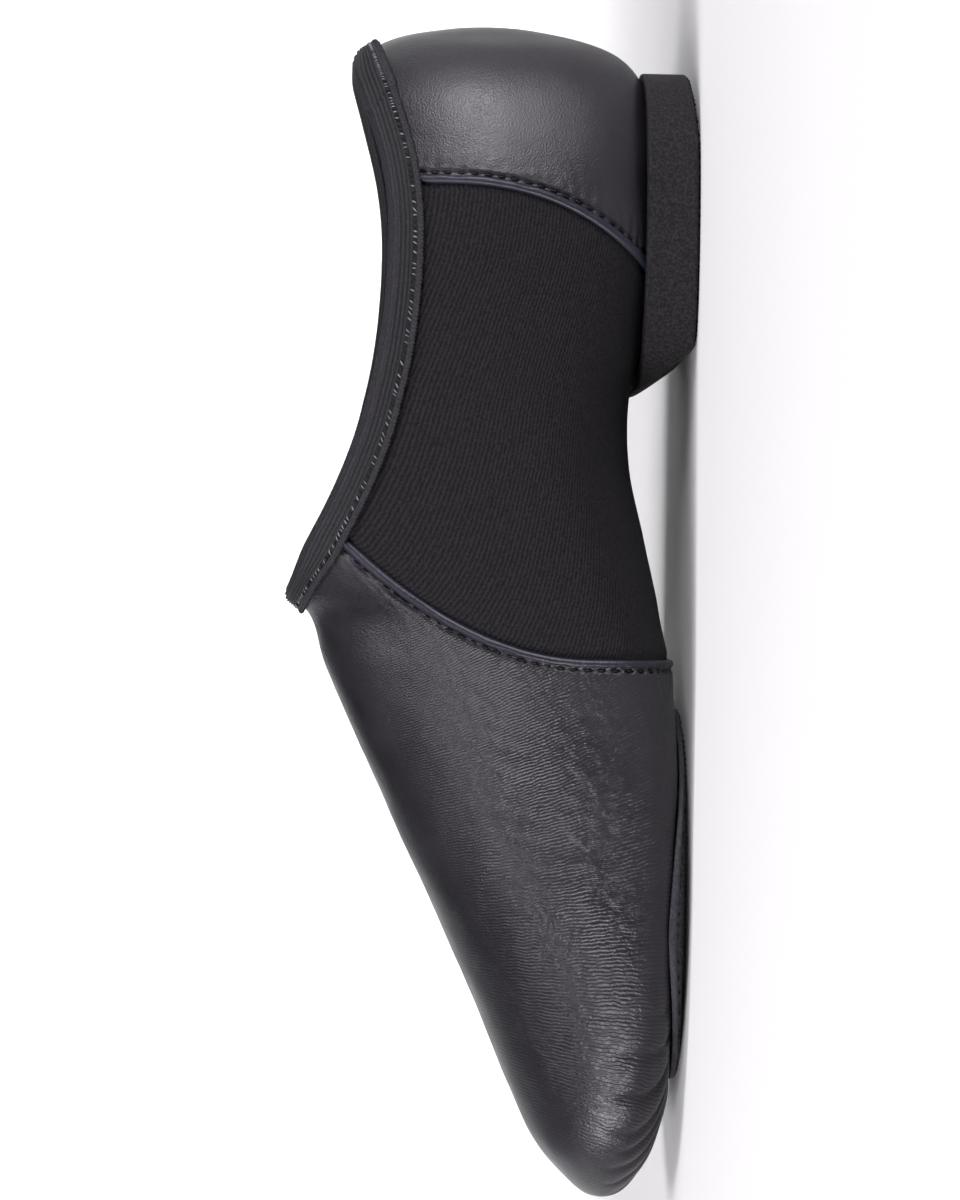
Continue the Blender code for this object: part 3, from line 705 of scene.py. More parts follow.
def binding_profile():
    """The band's section from its inner edge over the rim to its outer edge."""
    outer = FIT_GAP + BINDING_THICKNESS
    inner = -WALL - FIT_GAP - BINDING_THICKNESS
    middle, half = (outer + inner) / 2, (outer - inner) / 2
    rise = 1.7 * MM
    rows = [Rim(-BINDING_WIDTH, -WALL + 0.1 * MM, 0), Rim(-BINDING_WIDTH, inner + 0.3 * MM, 0)]
    rows += [Rim(-level * MM, inner, 0) for level in (6.7, 5.6, 4.5, 3.4, 2.4)]
    for step in range(25):
        angle = math.pi * (1 - step / 24)
        rows.append(Rim(-rise * (1 - math.sin(angle)), middle + half * math.cos(angle), step / 24))
    for step in range(1, 49):
        level = rise + (BINDING_WIDTH - 0.25 * MM - rise) * step / 48
        rows.append(Rim(-level, outer, 1 + step / 48))
    rows += [Rim(-BINDING_WIDTH, outer - 0.35 * MM, 2.0), Rim(-BINDING_WIDTH, -0.2 * MM, 2.0)]
    return rows


def rim_dip(points, level):
    """How far the rounded corners of the rim lie below the collar's straight edge."""
    back_dip, throat_dip = 2.4 * MM, 1.6 * MM
    x = points[..., 0]
    back = back_dip * (1 - ramp(x, shoe_x(2 * MM), shoe_x(13 * MM)))
    throat = throat_dip * ramp(x, shoe_x(108 * MM), shoe_x(118 * MM))
    return (back + throat) * (1 - ramp(-level, 0, 0.8 * BINDING_WIDTH))


def collar_loop(level, offset):
    """A closed loop round the collar at a level from its edge, on the last moved out by offset."""
    crown = last_surface(SCAN, 0.5, offset)
    over = above_collar(crown) + rim_dip(crown, level) - level
    inside = np.nonzero(over > 0)[0]
    first, last = inside[0], inside[-1]
    step = SCAN[1] - SCAN[0]
    back = SCAN[first] - step * over[first] / (over[first] - over[first - 1])
    front = SCAN[last] + step * over[last] / (over[last] - over[last + 1])
    sweep = (1 - np.cos(np.linspace(0, math.pi, 260))) / 2
    at = back + (front - back) * sweep
    halves = []
    for side in (1, -1):
        climb = np.linspace(0.26, 0.5, 64)
        turn = climb if side > 0 else 1 - climb
        points = last_surface(at[:, None], turn[None, :], offset)
        values = above_collar(points) + rim_dip(points, level) - level
        found = []
        for row in range(1, len(at) - 1):
            below = np.nonzero(values[row] < 0)[0]
            index = min(below[-1], len(climb) - 2)
            here, there = values[row, index], values[row, index + 1]
            part = np.clip(-here / max(there - here, 1e-12), 0, 1)
            found.append(points[row, index] * (1 - part) + points[row, index + 1] * part)
        halves.append(np.array(found))
    ends = last_surface(np.array([back, front]), 0.5, offset)
    loop = np.vstack([ends[:1], halves[0], ends[1:], halves[1][::-1], ends[:1]])
    distance = np.concatenate([[0], np.cumsum(np.linalg.norm(np.diff(loop, axis=0), axis=1))])
    half_way = distance[len(halves[0]) + 1]
    count = BINDING_POINTS // 2
    outer = np.linspace(0, half_way, count, endpoint=False)
    inner = np.linspace(half_way, distance[-1], BINDING_POINTS - count, endpoint=False)
    even = np.concatenate([outer, inner])
    points = np.stack([np.interp(even, distance, loop[:, axis]) for axis in range(3)], axis=1)
    return points, distance[-1]


def make_binding(material, valley_shade_material):
    """The ribbed band. Gives back its grid of points and its length round the collar, for the stitches."""
    loops = []
    profile = binding_profile()
    for rim in profile:
        points, girth = collar_loop(rim.level, rim.offset)
        loops.append(points)
    grid = np.array(loops)
    along = np.arange(BINDING_POINTS) / BINDING_POINTS * girth
    outward = np.cross(np.roll(grid, -1, axis=1) - np.roll(grid, 1, axis=1), np.gradient(grid, axis=0))
    outward /= np.maximum(np.linalg.norm(outward, axis=-1, keepdims=True), 1e-12)
    rib = np.array([rim.rib for rim in profile])[:, None]
    level = -np.array([rim.level for rim in profile])[:, None]
    offset = np.array([rim.offset for rim in profile])[:, None]
    outside = ramp(rib, 0.7, 1.05)
    steps = np.hypot(np.diff(level, axis=0), np.diff(offset, axis=0))
    run = np.vstack([[[0.0]], np.cumsum(steps, axis=0)])
    cords = np.abs(np.sin(np.pi * run / RIB_PITCH))
    ribbed = ramp(rib, 0.05, 0.25) * (1 - outside * ramp(level, 4.4 * MM, 4.7 * MM))
    ribs = RIB_HEIGHT * (cords - RIB_VALLEY) * ribbed
    trench = -TRENCH_DEPTH * np.exp(-(((level - TRENCH_AT) / TRENCH_WIDTH) ** 4)) * outside
    short_loops = np.sin(2 * np.pi * along / LOOP_PITCH)
    long_loops = 0.4 * np.sin(2 * np.pi * along / (4.3 * LOOP_PITCH))
    fringe = LOOP_HEIGHT * (short_loops + long_loops)[None, :] * ramp(level, 5.9 * MM, 6.3 * MM) * outside
    x = grid[..., 0]
    join = shoe_x(20 * MM) - 5 * MM * ramp(level, 0, BINDING_WIDTH)
    over = ramp(join - x, 0, 0.35 * MM) * (1 - ramp(join - x, 6 * MM, 18 * MM)) * (grid[..., 1] > 0)
    lap = LAP_HEIGHT * over * ramp(rib, 0.3, 0.8)
    grid = grid + outward * (ribs + trench + fringe + lap)[..., None]
    piece = mesh_object("ribbed_binding", grid, grid_faces(len(profile), BINDING_POINTS), material)
    # A second, darker material paints the shade in the valleys between the ribs and in the trench
    piece.data.materials.append(valley_shade_material)
    in_shaded_valley = (cords < RIB_VALLEY) & (ribbed > 0.5)
    in_shaded_trench = (np.abs(level - TRENCH_AT) < TRENCH_WIDTH) & (outside > 0.5)
    shaded_rows = (in_shaded_valley | in_shaded_trench).ravel()[:-1]
    piece.data.polygons.foreach_set("material_index", np.repeat(shaded_rows, BINDING_POINTS))
    dress(piece, "elastic", "collar_binding")
    return grid, girth


# Threads
def strand(start, end, lift, thickness):
    """Points and faces of one short, bowed stitch between two places."""
    sides, rings = 6, 5
    way = (end - start).normalized()
    across = way.cross(lift).normalized()
    up = across.cross(way).normalized()
    points = []
    for ring in range(rings):
        part = ring / (rings - 1)
        bow = math.sin(math.pi * part)
        centre = start.lerp(end, part) + up * thickness * (0.9 * bow - 0.5)
        size = thickness * (0.35 + 0.65 * bow)
        for side in range(sides):
            angle = 2 * math.pi * side / sides
            points.append(centre + size * (math.cos(angle) * across + math.sin(angle) * up))
    faces = grid_faces(rings, sides)
    faces.append(tuple(range(sides))[::-1])
    faces.append(tuple(range((rings - 1) * sides, rings * sides)))
    return points, faces


def join_strands(name, strands, material):
    """One piece of many short stitches."""
    points, faces = [], []
    for some_points, some_faces in strands:
        start = len(points)
        points += [tuple(point) for point in some_points]
        faces += [tuple(corner + start for corner in face) for face in some_faces]
    return mesh_object(name, points, faces, material)


def seam_strands(seam, way, lift):
    """Stitches in the groove behind a leather edge, right round the shoe below the collar."""
    turns = np.arange(901) / 900
    lines = Lines(turns[:-1])
    at = lines.last_crossing(ahead_of(seam, lines.points) - way * GROOVE_AT)
    at = np.append(at, at[0])
    run = seam_run(at, turns)
    places = last_surface(at, turns, lift)
    normals = last_normals(at, turns)
    shown = above_collar(places) < -BINDING_WIDTH - 0.2 * MM
    strands = []
    for start in np.arange(0, run[-1] - STITCH_PITCH, STITCH_PITCH):
        first, middle, last = np.searchsorted(run, start + np.array([0.0, 0.5, 1.0]) * STITCH_LENGTH)
        if shown[[first, middle, last]].all():
            lift_way = Vector(normals[middle])
            strands.append(strand(Vector(places[first]), Vector(places[last]), lift_way, STITCH_SIZE))
    return strands


def make_threads(grid, girth, dark_thread, pale_thread):
    """Stitches of the seams, and loose stitches over the trench of the band, close together at its back."""
    strands = seam_strands(vamp_seam, 1, STITCH_LIFT) + seam_strands(counter_seam, -1, STITCH_LIFT)
    dress(join_strands("seam_stitches", strands, dark_thread), "leather")
    profile = binding_profile()
    outer = [index for index, rim in enumerate(profile) if rim.rib > 1]
    high = min(outer, key=lambda index: abs(profile[index].level + TRENCH_AT - STITCH_HALF))
    low = min(outer, key=lambda index: abs(profile[index].level + TRENCH_AT + STITCH_HALF))
    centre = np.array([shoe_x(60 * MM), 0, grid[..., 2].mean()])
    dense_pitch, usual_pitch = 0.75 * MM, 1.15 * MM
    dense_share, usual_share = 0.80, 0.55
    loose = random.Random(7)
    pale, dark = [], []
    place = 0.0
    while place < girth:
        here = grid[high][int(place / girth * BINDING_POINTS)]
        dense = shoe_x(4 * MM) < here[0] < shoe_x(22 * MM) and here[1] > 0
        pitch = (dense_pitch if dense else usual_pitch) * loose.uniform(0.8, 1.2)
        first = int(place / girth * BINDING_POINTS) % BINDING_POINTS
        second = int((place + loose.uniform(0.1, 0.7) * pitch) / girth * BINDING_POINTS) % BINDING_POINTS
        top, bottom = Vector(grid[high][first]), Vector(grid[low][second])
        lift = (bottom - top).cross(Vector(grid[high][(first + 6) % BINDING_POINTS] - grid[high][first]))
        lift.normalize()
        if lift.dot(top - Vector(centre)) < 0:
            lift = -lift
        raised = lift * loose.uniform(-0.02, 0.14) * MM
        size = loose.uniform(0.10, 0.19) * MM
        group = pale if loose.random() < (dense_share if dense else usual_share) else dark
        group.append(strand(top + raised, bottom + raised, lift, size))
        place += pitch
    dress(join_strands("binding_stitches", pale, pale_thread), "elastic")
    dress(join_strands("binding_dark_stitches", dark, dark_thread), "elastic")


# Sole pieces
PLAN_POINTS = 320
EDGE_BAND = 4 * MM


def plan_loop(rows, start, length, width, middle, skew=0.0):
    """A closed outline (x, y) in order round the piece, and the way out at each point."""
    numbers = np.linspace(0, len(rows) - 1, (len(rows) - 1) * 14 + 1)
    samples = smooth(rows, numbers)
    x = start + samples.along * length
    half = np.maximum(samples.half, 0) * width / 2
    side = np.stack([x, half], axis=1)
    loop = np.vstack([side, side[-2:0:-1] * (1, -1)])
    closed = np.vstack([loop, loop[:1]])
    distance = np.concatenate([[0], np.cumsum(np.linalg.norm(np.diff(closed, axis=0), axis=1))])
    even = np.linspace(0, distance[-1], PLAN_POINTS, endpoint=False)
    loop = np.stack([np.interp(even, distance, closed[:, axis]) for axis in (0, 1)], axis=1)
    for _ in range(6):
        loop = (np.roll(loop, 1, axis=0) + 2 * loop + np.roll(loop, -1, axis=0)) / 4
    loop = np.stack([shoe_x(loop[:, 0]) + math.tan(skew) * loop[:, 1], loop[:, 1] + middle], axis=1)
    tangent = np.roll(loop, -1, axis=0) - np.roll(loop, 1, axis=0)
    out = np.stack([-tangent[:, 1], tangent[:, 0]], axis=1)
    out /= np.linalg.norm(out, axis=1, keepdims=True)
    return loop, out


def outline_distance(places, loop):
    """Distance of each place inside (negative) or outside an outline."""
    ends = np.roll(loop, -1, axis=0)
    way = ends - loop
    inside = np.zeros(len(places), bool)
    nearest = np.full(len(places), np.inf)
    for (ax, ay), (bx, by), (wx, wy) in zip(loop, ends, way):
        part = ((places[:, 0] - ax) * wx + (places[:, 1] - ay) * wy) / (wx * wx + wy * wy)
        part = np.clip(part, 0, 1)
        gap = np.hypot(places[:, 0] - ax - part * wx, places[:, 1] - ay - part * wy)
        nearest = np.minimum(nearest, gap)
        crosses = (ay > places[:, 1]) != (by > places[:, 1])
        if crosses.any():
            at = ax + (places[:, 1] - ay) / (by - ay if by != ay else 1e-12) * (bx - ax)
            inside ^= crosses & (places[:, 0] < at)
    return np.where(inside, -nearest, nearest)


def clip(points, faces, values):
    """Cuts faces along the line where values are zero and keeps the negative side."""
    points = [tuple(point) for point in points]
    values = list(values)
    cuts = {}
    kept = []
    for face in faces:
        if all(values[corner] <= 0 for corner in face):
            kept.append(tuple(face))
            continue
        if all(values[corner] > 0 for corner in face):
            continue
        new_face = []
        for here, there in zip(face, face[1:] + face[:1]):
            if values[here] <= 0:
                new_face.append(here)
            if (values[here] <= 0) != (values[there] <= 0):
                key = (min(here, there), max(here, there))
                if key not in cuts:
                    part = values[here] / (values[here] - values[there])
                    cuts[key] = len(points)
                    points.append(tuple(a + part * (b - a) for a, b in zip(points[here], points[there])))
                new_face.append(cuts[key])
        if len(new_face) > 2:
            kept.append(tuple(new_face))
    return points, kept


def lattice(loop, tread):
    """Corners, tops and faces of a diamond lattice that covers an outline."""
    low = loop.min(axis=0)
    high = loop.max(axis=0)
    middle = (low + high) / 2
    rows = int((high[0] - low[0]) / tread.along) + 4
    columns = int((high[1] - low[1]) / tread.across) + 4
    numbers, places, tops, faces = {}, [], [], []

    def new_place(i, j, top):
        """Number of a new lattice place, counted in half steps from the middle."""
        x, y = i * tread.along / 2, j * tread.across / 2
        places.append((middle[0] + x + tread.skew * y, middle[1] + y - 0.2 * tread.skew * x))
        tops.append(top)
        return len(places) - 1

    def corner(i, j):
        if (i, j) not in numbers:
            numbers[(i, j)] = new_place(i, j, False)
        return numbers[(i, j)]

    for i in range(-rows, rows + 1):
        for j in range(-columns, columns + 1):
            if (i + j) % 2:
                continue
            ring = [corner(i - 1, j), corner(i, j + 1), corner(i + 1, j), corner(i, j - 1)]
            centre = new_place(i, j, True)
            for first, second in zip(ring, ring[1:] + ring[:1]):
                faces.append((centre, first, second))
    places = np.array(places)
    distance = outline_distance(places, loop) + tread.inset
    return places, np.array(tops), faces, distance


def heel_rocker(x):
    """Height of the heel's underside behind its breast: it rises a little at the back."""
    start = shoe_x(HEEL_START)
    rocker = (start + HEEL_ROCKER_LENGTH - x) * HEEL_ROCKER_RISE / HEEL_ROCKER_LENGTH
    return np.maximum(rocker, 0)


def heel_bottom(x, y):
    """Height of the heel's underside before its tread, with the sloped breast at its front."""
    foot = shoe_x(HEEL_START + HEEL_BREAST_FOOT)
    breast = (x + math.tan(HEEL_SKEW) * y - foot) * math.tan(HEEL_BREAST_ANGLE)
    soft = 0.5 * MM
    flat = heel_rocker(x)
    blend = flat + (breast - flat + soft) ** 2 / (4 * soft)
    return np.where(breast > flat + soft, breast, np.where(breast < flat - soft, flat, blend))


def sole_block(name, loop, out, bottom, top, round_edge, material, insets):
    """A sole piece on an outline, with rounded edges, between two height functions.

    insets: how far the rings inside the edge band reach towards the centre.
    """
    centre = loop.mean(axis=0)
    rings = []

    def ring(inset):
        if inset <= EDGE_BAND:
            return loop - out * inset
        inner = loop - out * EDGE_BAND
        share = (inset - EDGE_BAND) / insets
        return inner + (centre - inner) * share

    def add_ring(places, height):
        rings.append(np.column_stack([places, height]))

    def height_of(surface, places):
        return surface(places[:, 0], places[:, 1])

    reach = EDGE_BAND + insets * 0.98
    flat_insets = list(np.linspace(reach, EDGE_BAND, 44, endpoint=False))
    for inset in flat_insets + [EDGE_BAND, 3.2 * MM, 2.4 * MM, 1.7 * MM, 1.2 * MM, round_edge]:
        places = ring(inset)
        add_ring(places, height_of(bottom, places))
    for step in range(1, 7):
        angle = math.pi / 2 * step / 6
        places = ring(round_edge * (1 - math.sin(angle)))
        add_ring(places, height_of(bottom, places) + round_edge * (1 - math.cos(angle)))
    low = rings[-1][:, 2]
    top_round = round_edge * 0.6
    high = np.maximum(height_of(top, loop) - top_round, low + 0.02 * MM)
    for step in range(1, 9):
        add_ring(loop, low + (high - low) * step / 8)
    for step in range(1, 5):
        angle = math.pi / 2 * step / 4
        add_ring(ring(top_round * (1 - math.cos(angle))), high + top_round * math.sin(angle))
    for inset in (1.2 * MM, 2 * MM, 3 * MM, EDGE_BAND, 6 * MM, 9 * MM, 14 * MM, reach):
        places = ring(inset)
        add_ring(places, np.minimum(height_of(top, places), high + top_round))
    grid = np.array(rings)
    count = len(loop)
    faces = grid_faces(len(rings), count)
    points = grid.reshape(-1, 3)
    points = np.vstack([points, grid[0].mean(axis=0), grid[-1].mean(axis=0)])
    first, last = len(points) - 2, len(points) - 1
    top_ring = (len(rings) - 1) * count
    for index in range(count):
        after = (index + 1) % count
        faces.append((after, index, first))
        faces.append((top_ring + index, top_ring + after, last))
    return mesh_object(name, points, faces, material)


def form_tree(offset):
    """A search tree of the last moved out by offset, for finding its underside."""
    rows, turns = 150, 200
    at = np.linspace(0.05, TIP - 0.05, rows)
    turn = np.arange(turns) / turns
    points = last_surface(at[:, None], turn[None, :], offset).reshape(-1, 3)
    return BVHTree.FromPolygons(points.tolist(), grid_faces(rows, turns))


def underside(tree, otherwise):
    """A function of x and y that gives the height of a form's underside."""

    def height(x, y):
        found = []
        for place_x, place_y in zip(np.ravel(x), np.ravel(y)):
            hit = tree.ray_cast(Vector((place_x, place_y, -0.05)), Vector((0, 0, 1)))
            found.append(hit[0].z if hit[0] is not None else otherwise)
        return np.array(found).reshape(np.shape(x))

    return height


def tread_mesh(name, loop, tread, base, material, ahead=None):
    """Tread on the surface base, cut at the outline, and at the places where ahead is above zero."""
    places, tops, faces, distance = lattice(loop, tread)
    if ahead is not None:
        distance = np.maximum(distance, ahead(places))
    margin = 3 * MM
    near = distance < margin
    heights = np.zeros(len(places))
    heights[near] = base(places[near, 0], places[near, 1])
    heights = heights - np.where(tops, TREAD_DEPTH, 0)
    points = np.column_stack([places, heights])
    faces = [face for face in faces if all(near[corner] for corner in face)]
    points, faces = clip(points, faces, distance)
    piece = tidy_mesh(mesh_object(name, points, faces, material))
    piece.data.shade_flat()
    return piece


def heel_middle():
    """The Y of the heel's middle line, the mean of the sections above it."""
    under = [s.inward for s in SECTIONS if HEEL_START < s.station * LENGTH < HEEL_START + HEEL_LENGTH]
    return -BALL_WIDTH * sum(under) / len(under)


def make_heel(foam):
    """The heel block, moulded to the underside of the shoe, and its tread as far as the sloped breast."""
    middle = heel_middle()
    loop, out = plan_loop(HEEL_PLAN, HEEL_START, HEEL_LENGTH, HEEL_WIDTH, middle, -HEEL_SKEW)
    flat_top = SEAT + HEEL_RISE + HEEL_WALL
    under = underside(form_tree(FIT_GAP), 1.0)

    def bottom(x, y):
        return heel_bottom(x, y - middle) + TREAD_DEPTH * 0.9

    def top(x, y):
        return np.minimum(under(x, y), flat_top)

    block = sole_block("heel_foam", loop, out, bottom, top, HEEL_ROUND, foam, 26 * MM)
    dress(block, "foam", "heel_block")

    def past_breast(places):
        foot = shoe_x(HEEL_START + HEEL_BREAST_FOOT) - 0.6 * MM
        return places[:, 0] + math.tan(HEEL_SKEW) * (places[:, 1] - middle) - foot

    def base(x, y):
        return heel_rocker(x) + TREAD_DEPTH

    dress(tread_mesh("heel_tread", loop, HEEL_TREAD, base, foam, past_breast), "foam", "heel_block")


def make_patch(rubber):
    """The thin forefoot sole, which follows the underside of the shoe, and its tread."""
    loop, out = plan_loop(PATCH_PLAN, PATCH_START, PATCH_LENGTH, PATCH_WIDTH, PATCH_SHIFT)
    outside = underside(form_tree(FIT_GAP + PATCH_THICKNESS), 0.004)
    inside = underside(form_tree(FIT_GAP), 0.006)

    def base(x, y):
        return np.maximum(outside(x, y), 0) + TREAD_DEPTH

    def bottom(x, y):
        return base(x, y) - 0.1 * TREAD_DEPTH

    def top(x, y):
        return np.maximum(inside(x, y), base(x, y) + 0.3 * MM)

    block = sole_block("sole_patch", loop, out, bottom, top, PATCH_ROUND, rubber, 30 * MM)
    dress(block, "rubber", "forefoot_sole")
    dress(tread_mesh("patch_tread", loop, PATCH_TREAD, base, rubber), "rubber", "forefoot_sole")


def make_insole(material):
    """A thin sock on the floor of the shoe, with a turned-down edge."""
    half_turn, edge_from = 0.170, 0.965
    heel_row, toe_row = 3.2, TIP - 1.6
    across = np.linspace(-1, 1, 61)
    rows = np.linspace(heel_row, toe_row, 130)
    turn = across * half_turn
    top = -WALL - FIT_GAP - INSOLE_THICKNESS
    drop = ramp(np.abs(across), edge_from, 1.0)[None, :]
    heel_end = 1 - ramp(rows, heel_row, heel_row + 0.25)
    toe_end = ramp(rows, toe_row - 0.15, toe_row)
    offset = top + INSOLE_THICKNESS * np.maximum(drop, np.maximum(heel_end, toe_end)[:, None])
    points = last_surface(rows[:, None], turn[None, :], offset * np.ones((len(rows), len(across))))
    piece = mesh_object("insole_sock", points, grid_faces(len(rows), len(across), closed=False), material)
    piece.data.flip_normals()
    dress(piece, "lining", "insole")


# Materials. A colour is a linear (red, green, blue).
# dark, light: the leather's tones. rough: of its gloss. wrinkled, pebbled: strength of its fine wrinkles and
# of its grain. band: where the wrinkles lie, see wrinkle_group. cells: pebbles of the grain to a metre.
Leather = namedtuple("Leather", "dark light rough wrinkled pebbled cells band")
LEATHER_DARK, LEATHER_LIGHT = (0.0048, 0.0044, 0.0060), (0.0090, 0.0083, 0.0110)
EDGE_DARK, EDGE_LIGHT = (0.0026, 0.0030, 0.0062), (0.0064, 0.0070, 0.0140)
VAMP_BAND = {"Foot": 0.0380, "Slope": 0.26, "Width": 0.026}
COUNTER_BAND = {"Foot": 0.012, "Slope": 0.30, "Width": 0.030}
VAMP_LEATHER = Leather(LEATHER_DARK, LEATHER_LIGHT, 0.40, 0.80, 0.62, 2100.0, VAMP_BAND)
COUNTER_LEATHER = Leather(LEATHER_DARK, LEATHER_LIGHT, 0.39, 0.10, 0.62, 2700.0, COUNTER_BAND)
EDGE_LEATHER = Leather(EDGE_DARK, EDGE_LIGHT, 0.48, 0.10, 0.40, 1700.0, COUNTER_BAND)

# wales: lines of the knit, in radians to a metre. courses: specks to a metre.
Knit = namedtuple("Knit", "dark light wales courses")
STRETCH_KNIT = Knit((0.0004, 0.0003, 0.0006), (0.0090, 0.0077, 0.0099), 8050.0, 2000.0)
LINING_KNIT = Knit((0.006, 0.006, 0.007), (0.016, 0.016, 0.017), 7000.0, 2300.0)

Foam = namedtuple("Foam", "dark light speck rough")
HEEL_FOAM = Foam((0.0005, 0.0004, 0.0006), (0.0010, 0.0008, 0.0011), (0.0160, 0.0145, 0.0170), 0.85)
SOLE_RUBBER = Foam((0.0085, 0.0082, 0.0108), (0.0150, 0.0142, 0.0190), (0.034, 0.033, 0.040), 0.60)

ELASTIC_DARK, ELASTIC_LIGHT = (0.0024, 0.0022, 0.0034), (0.0165, 0.0155, 0.0205)
# Painted shade: darker elastic colours for the rib valleys and the stitched trench, where shade falls
VALLEY_SHADE_DARK, VALLEY_SHADE_LIGHT = (0.0010, 0.0010, 0.0012), (0.0040, 0.0038, 0.0048)
DARK_THREAD = (0.0035, 0.0035, 0.0045)
PALE_THREAD = (0.150, 0.148, 0.165)

# Fine wrinkles: the lean of their lines at X = 0, its change along X, their rate in radians to a metre, and
# how far noise swings them
WRINKLE_LEAN = 0.90
WRINKLE_TURN = 11.7
WRINKLE_RATE = 6600.0
WRINKLE_SWING = 12.5


def new_group(name, values, outputs):
    """A shader node group placed by a vector, and its entry and exit. values: its number inputs."""
    group = bpy.data.node_groups.new(name, "ShaderNodeTree")
    group.interface.new_socket("Vector", in_out="INPUT", socket_type="NodeSocketVector")
    for label, value in values.items():
        socket = group.interface.new_socket(label, in_out="INPUT", socket_type="NodeSocketFloat")
        socket.default_value = value
    for label in outputs:
        group.interface.new_socket(label, in_out="OUTPUT", socket_type="NodeSocketFloat")
    return group, group.nodes.new("NodeGroupInput").outputs, group.nodes.new("NodeGroupOutput").inputs


def feed(tree, socket, value):
    """Sets an input to a value, or links it to the output of another node."""
    if isinstance(value, bpy.types.NodeSocket):
        tree.links.new(value, socket)
    else:
        socket.default_value = value


def add(tree, kind, inputs, **settings):
    """A node with its properties set by name and its inputs fed by number or label."""
    node = tree.nodes.new(kind)
    for key, value in settings.items():
        setattr(node, key, value)
    for key, value in inputs.items():
        feed(tree, node.inputs[key], value)
    return node


def math_node(tree, operation, *values):
    """The result of an operation on numbers or on outputs of other nodes."""
    return add(tree, "ShaderNodeMath", dict(enumerate(values)), operation=operation).outputs[0]


def noise_texture(tree, place, scale, detail, rough=0.5):
    """Soft noise from 0 to 1. scale: its spots to a metre."""
    inputs = {"Vector": place, "Scale": scale, "Detail": detail, "Roughness": rough}
    return add(tree, "ShaderNodeTexNoise", inputs).outputs[0]


def value_range(tree, value, low, high, least, most):
    """A number that goes from least to most as value goes from low to high."""
    return add(tree, "ShaderNodeMapRange", {0: value, 1: low, 2: high, 3: least, 4: most}).outputs[0]


def grain_group():
    """Pebbled leather grain with a finer tooth, and slow changes of tone. Cells: pebbles to a metre."""
    group, given, gives = new_group("leather_grain", {"Cells": 1700.0}, ("Height", "Tone"))
    place, count = given["Vector"], given["Cells"]
    inputs = {"Vector": place, "Scale": count, "Smoothness": 0.35}
    cells = add(group, "ShaderNodeTexVoronoi", inputs, feature="SMOOTH_F1")
    tooth = noise_texture(group, place, math_node(group, "MULTIPLY", count, 1.7), 3.0, 0.6)
    fine = math_node(group, "MULTIPLY", tooth, 0.5)
    feed(group, gives["Height"], math_node(group, "ADD", cells.outputs["Distance"], fine))
    feed(group, gives["Tone"], noise_texture(group, place, 46.0, 3.0, 0.55))
    return group


def wrinkle_group():
    """Short wavy wrinkles that run up and down the shoe's side, strongest along a slanting band.

    Foot, Slope and Width place the band: its height at X = 0, its fall along X and its half width.
    """
    values = {"Foot": 0.035, "Slope": 0.32, "Width": 0.020}
    group, given, gives = new_group("leather_wrinkles", values, ("Height",))
    place = given["Vector"]
    x, _, z = add(group, "ShaderNodeSeparateXYZ", {0: place}).outputs
    turning = math_node(group, "SUBTRACT", WRINKLE_LEAN, math_node(group, "MULTIPLY", x, WRINKLE_TURN))
    across = math_node(group, "SUBTRACT", x, math_node(group, "MULTIPLY", turning, z))
    swing = math_node(group, "MULTIPLY", noise_texture(group, place, 300.0, 2.0, 0.6), WRINKLE_SWING)
    phase = math_node(group, "ADD", math_node(group, "MULTIPLY", across, WRINKLE_RATE), swing)
    ridges = math_node(group, "SINE", phase)
    share = value_range(group, noise_texture(group, place, 480.0, 2.0), 0.34, 0.66, 0.55, 1.0)
    fall = math_node(group, "MULTIPLY", x, given["Slope"])
    level = math_node(group, "SUBTRACT", math_node(group, "ADD", z, fall), given["Foot"])
    away = math_node(group, "DIVIDE", math_node(group, "ABSOLUTE", level), given["Width"])
    patches = math_node(group, "MULTIPLY", noise_texture(group, place, 70.0, 2.0), 0.9)
    in_band = value_range(group, math_node(group, "ADD", away, patches), 0.45, 1.70, 1.0, 0.08)
    behind_tip = value_range(group, x, 0.096, 0.114, 1.0, 0.08)
    shown = math_node(group, "MULTIPLY", math_node(group, "MULTIPLY", in_band, share), behind_tip)
    feed(group, gives["Height"], math_node(group, "MULTIPLY", ridges, shown))
    return group


def knit_group():
    """Fine knit: leaning wales, broken up by specks. Wales and Courses: see Knit."""
    group, given, gives = new_group("fine_knit", {"Wales": 1.0, "Courses": 1.0}, ("Height", "Tone"))
    place = given["Vector"]
    x, y, z = add(group, "ShaderNodeSeparateXYZ", {0: place}).outputs
    shake = math_node(group, "MULTIPLY", noise_texture(group, place, 330.0, 2.0), 3.0)
    aside = math_node(group, "MULTIPLY", math_node(group, "ABSOLUTE", y), 0.8)
    rise = math_node(group, "ADD", z, aside)
    leaning = math_node(group, "SUBTRACT", rise, math_node(group, "MULTIPLY", x, 0.24))
    across = math_node(group, "MULTIPLY", leaning, given["Wales"])
    wale = math_node(group, "SINE", math_node(group, "ADD", across, shake))
    speck = noise_texture(group, place, given["Courses"], 2.0, 0.7)
    ribs, bumps = math_node(group, "MULTIPLY", wale, 0.45), math_node(group, "MULTIPLY", speck, 2.6)
    feed(group, gives["Height"], math_node(group, "ADD", ribs, bumps))
    feed(group, gives["Tone"], math_node(group, "MULTIPLY_ADD", wale, 0.13, speck))
    return group


def grit_group():
    """Fine grit of foam and rubber: a height, and slow changes of tone."""
    group, given, gives = new_group("fine_grit", {}, ("Height", "Tone"))
    feed(group, gives["Height"], noise_texture(group, given["Vector"], 1700.0, 3.0, 0.8))
    feed(group, gives["Tone"], noise_texture(group, given["Vector"], 80.0, 2.0))
    return group


def twist_group():
    """Uneven tone of a twisted thread."""
    group, given, gives = new_group("thread_twist", {}, ("Tone",))
    feed(group, gives["Tone"], noise_texture(group, given["Vector"], 3000.0, 2.0))
    return group


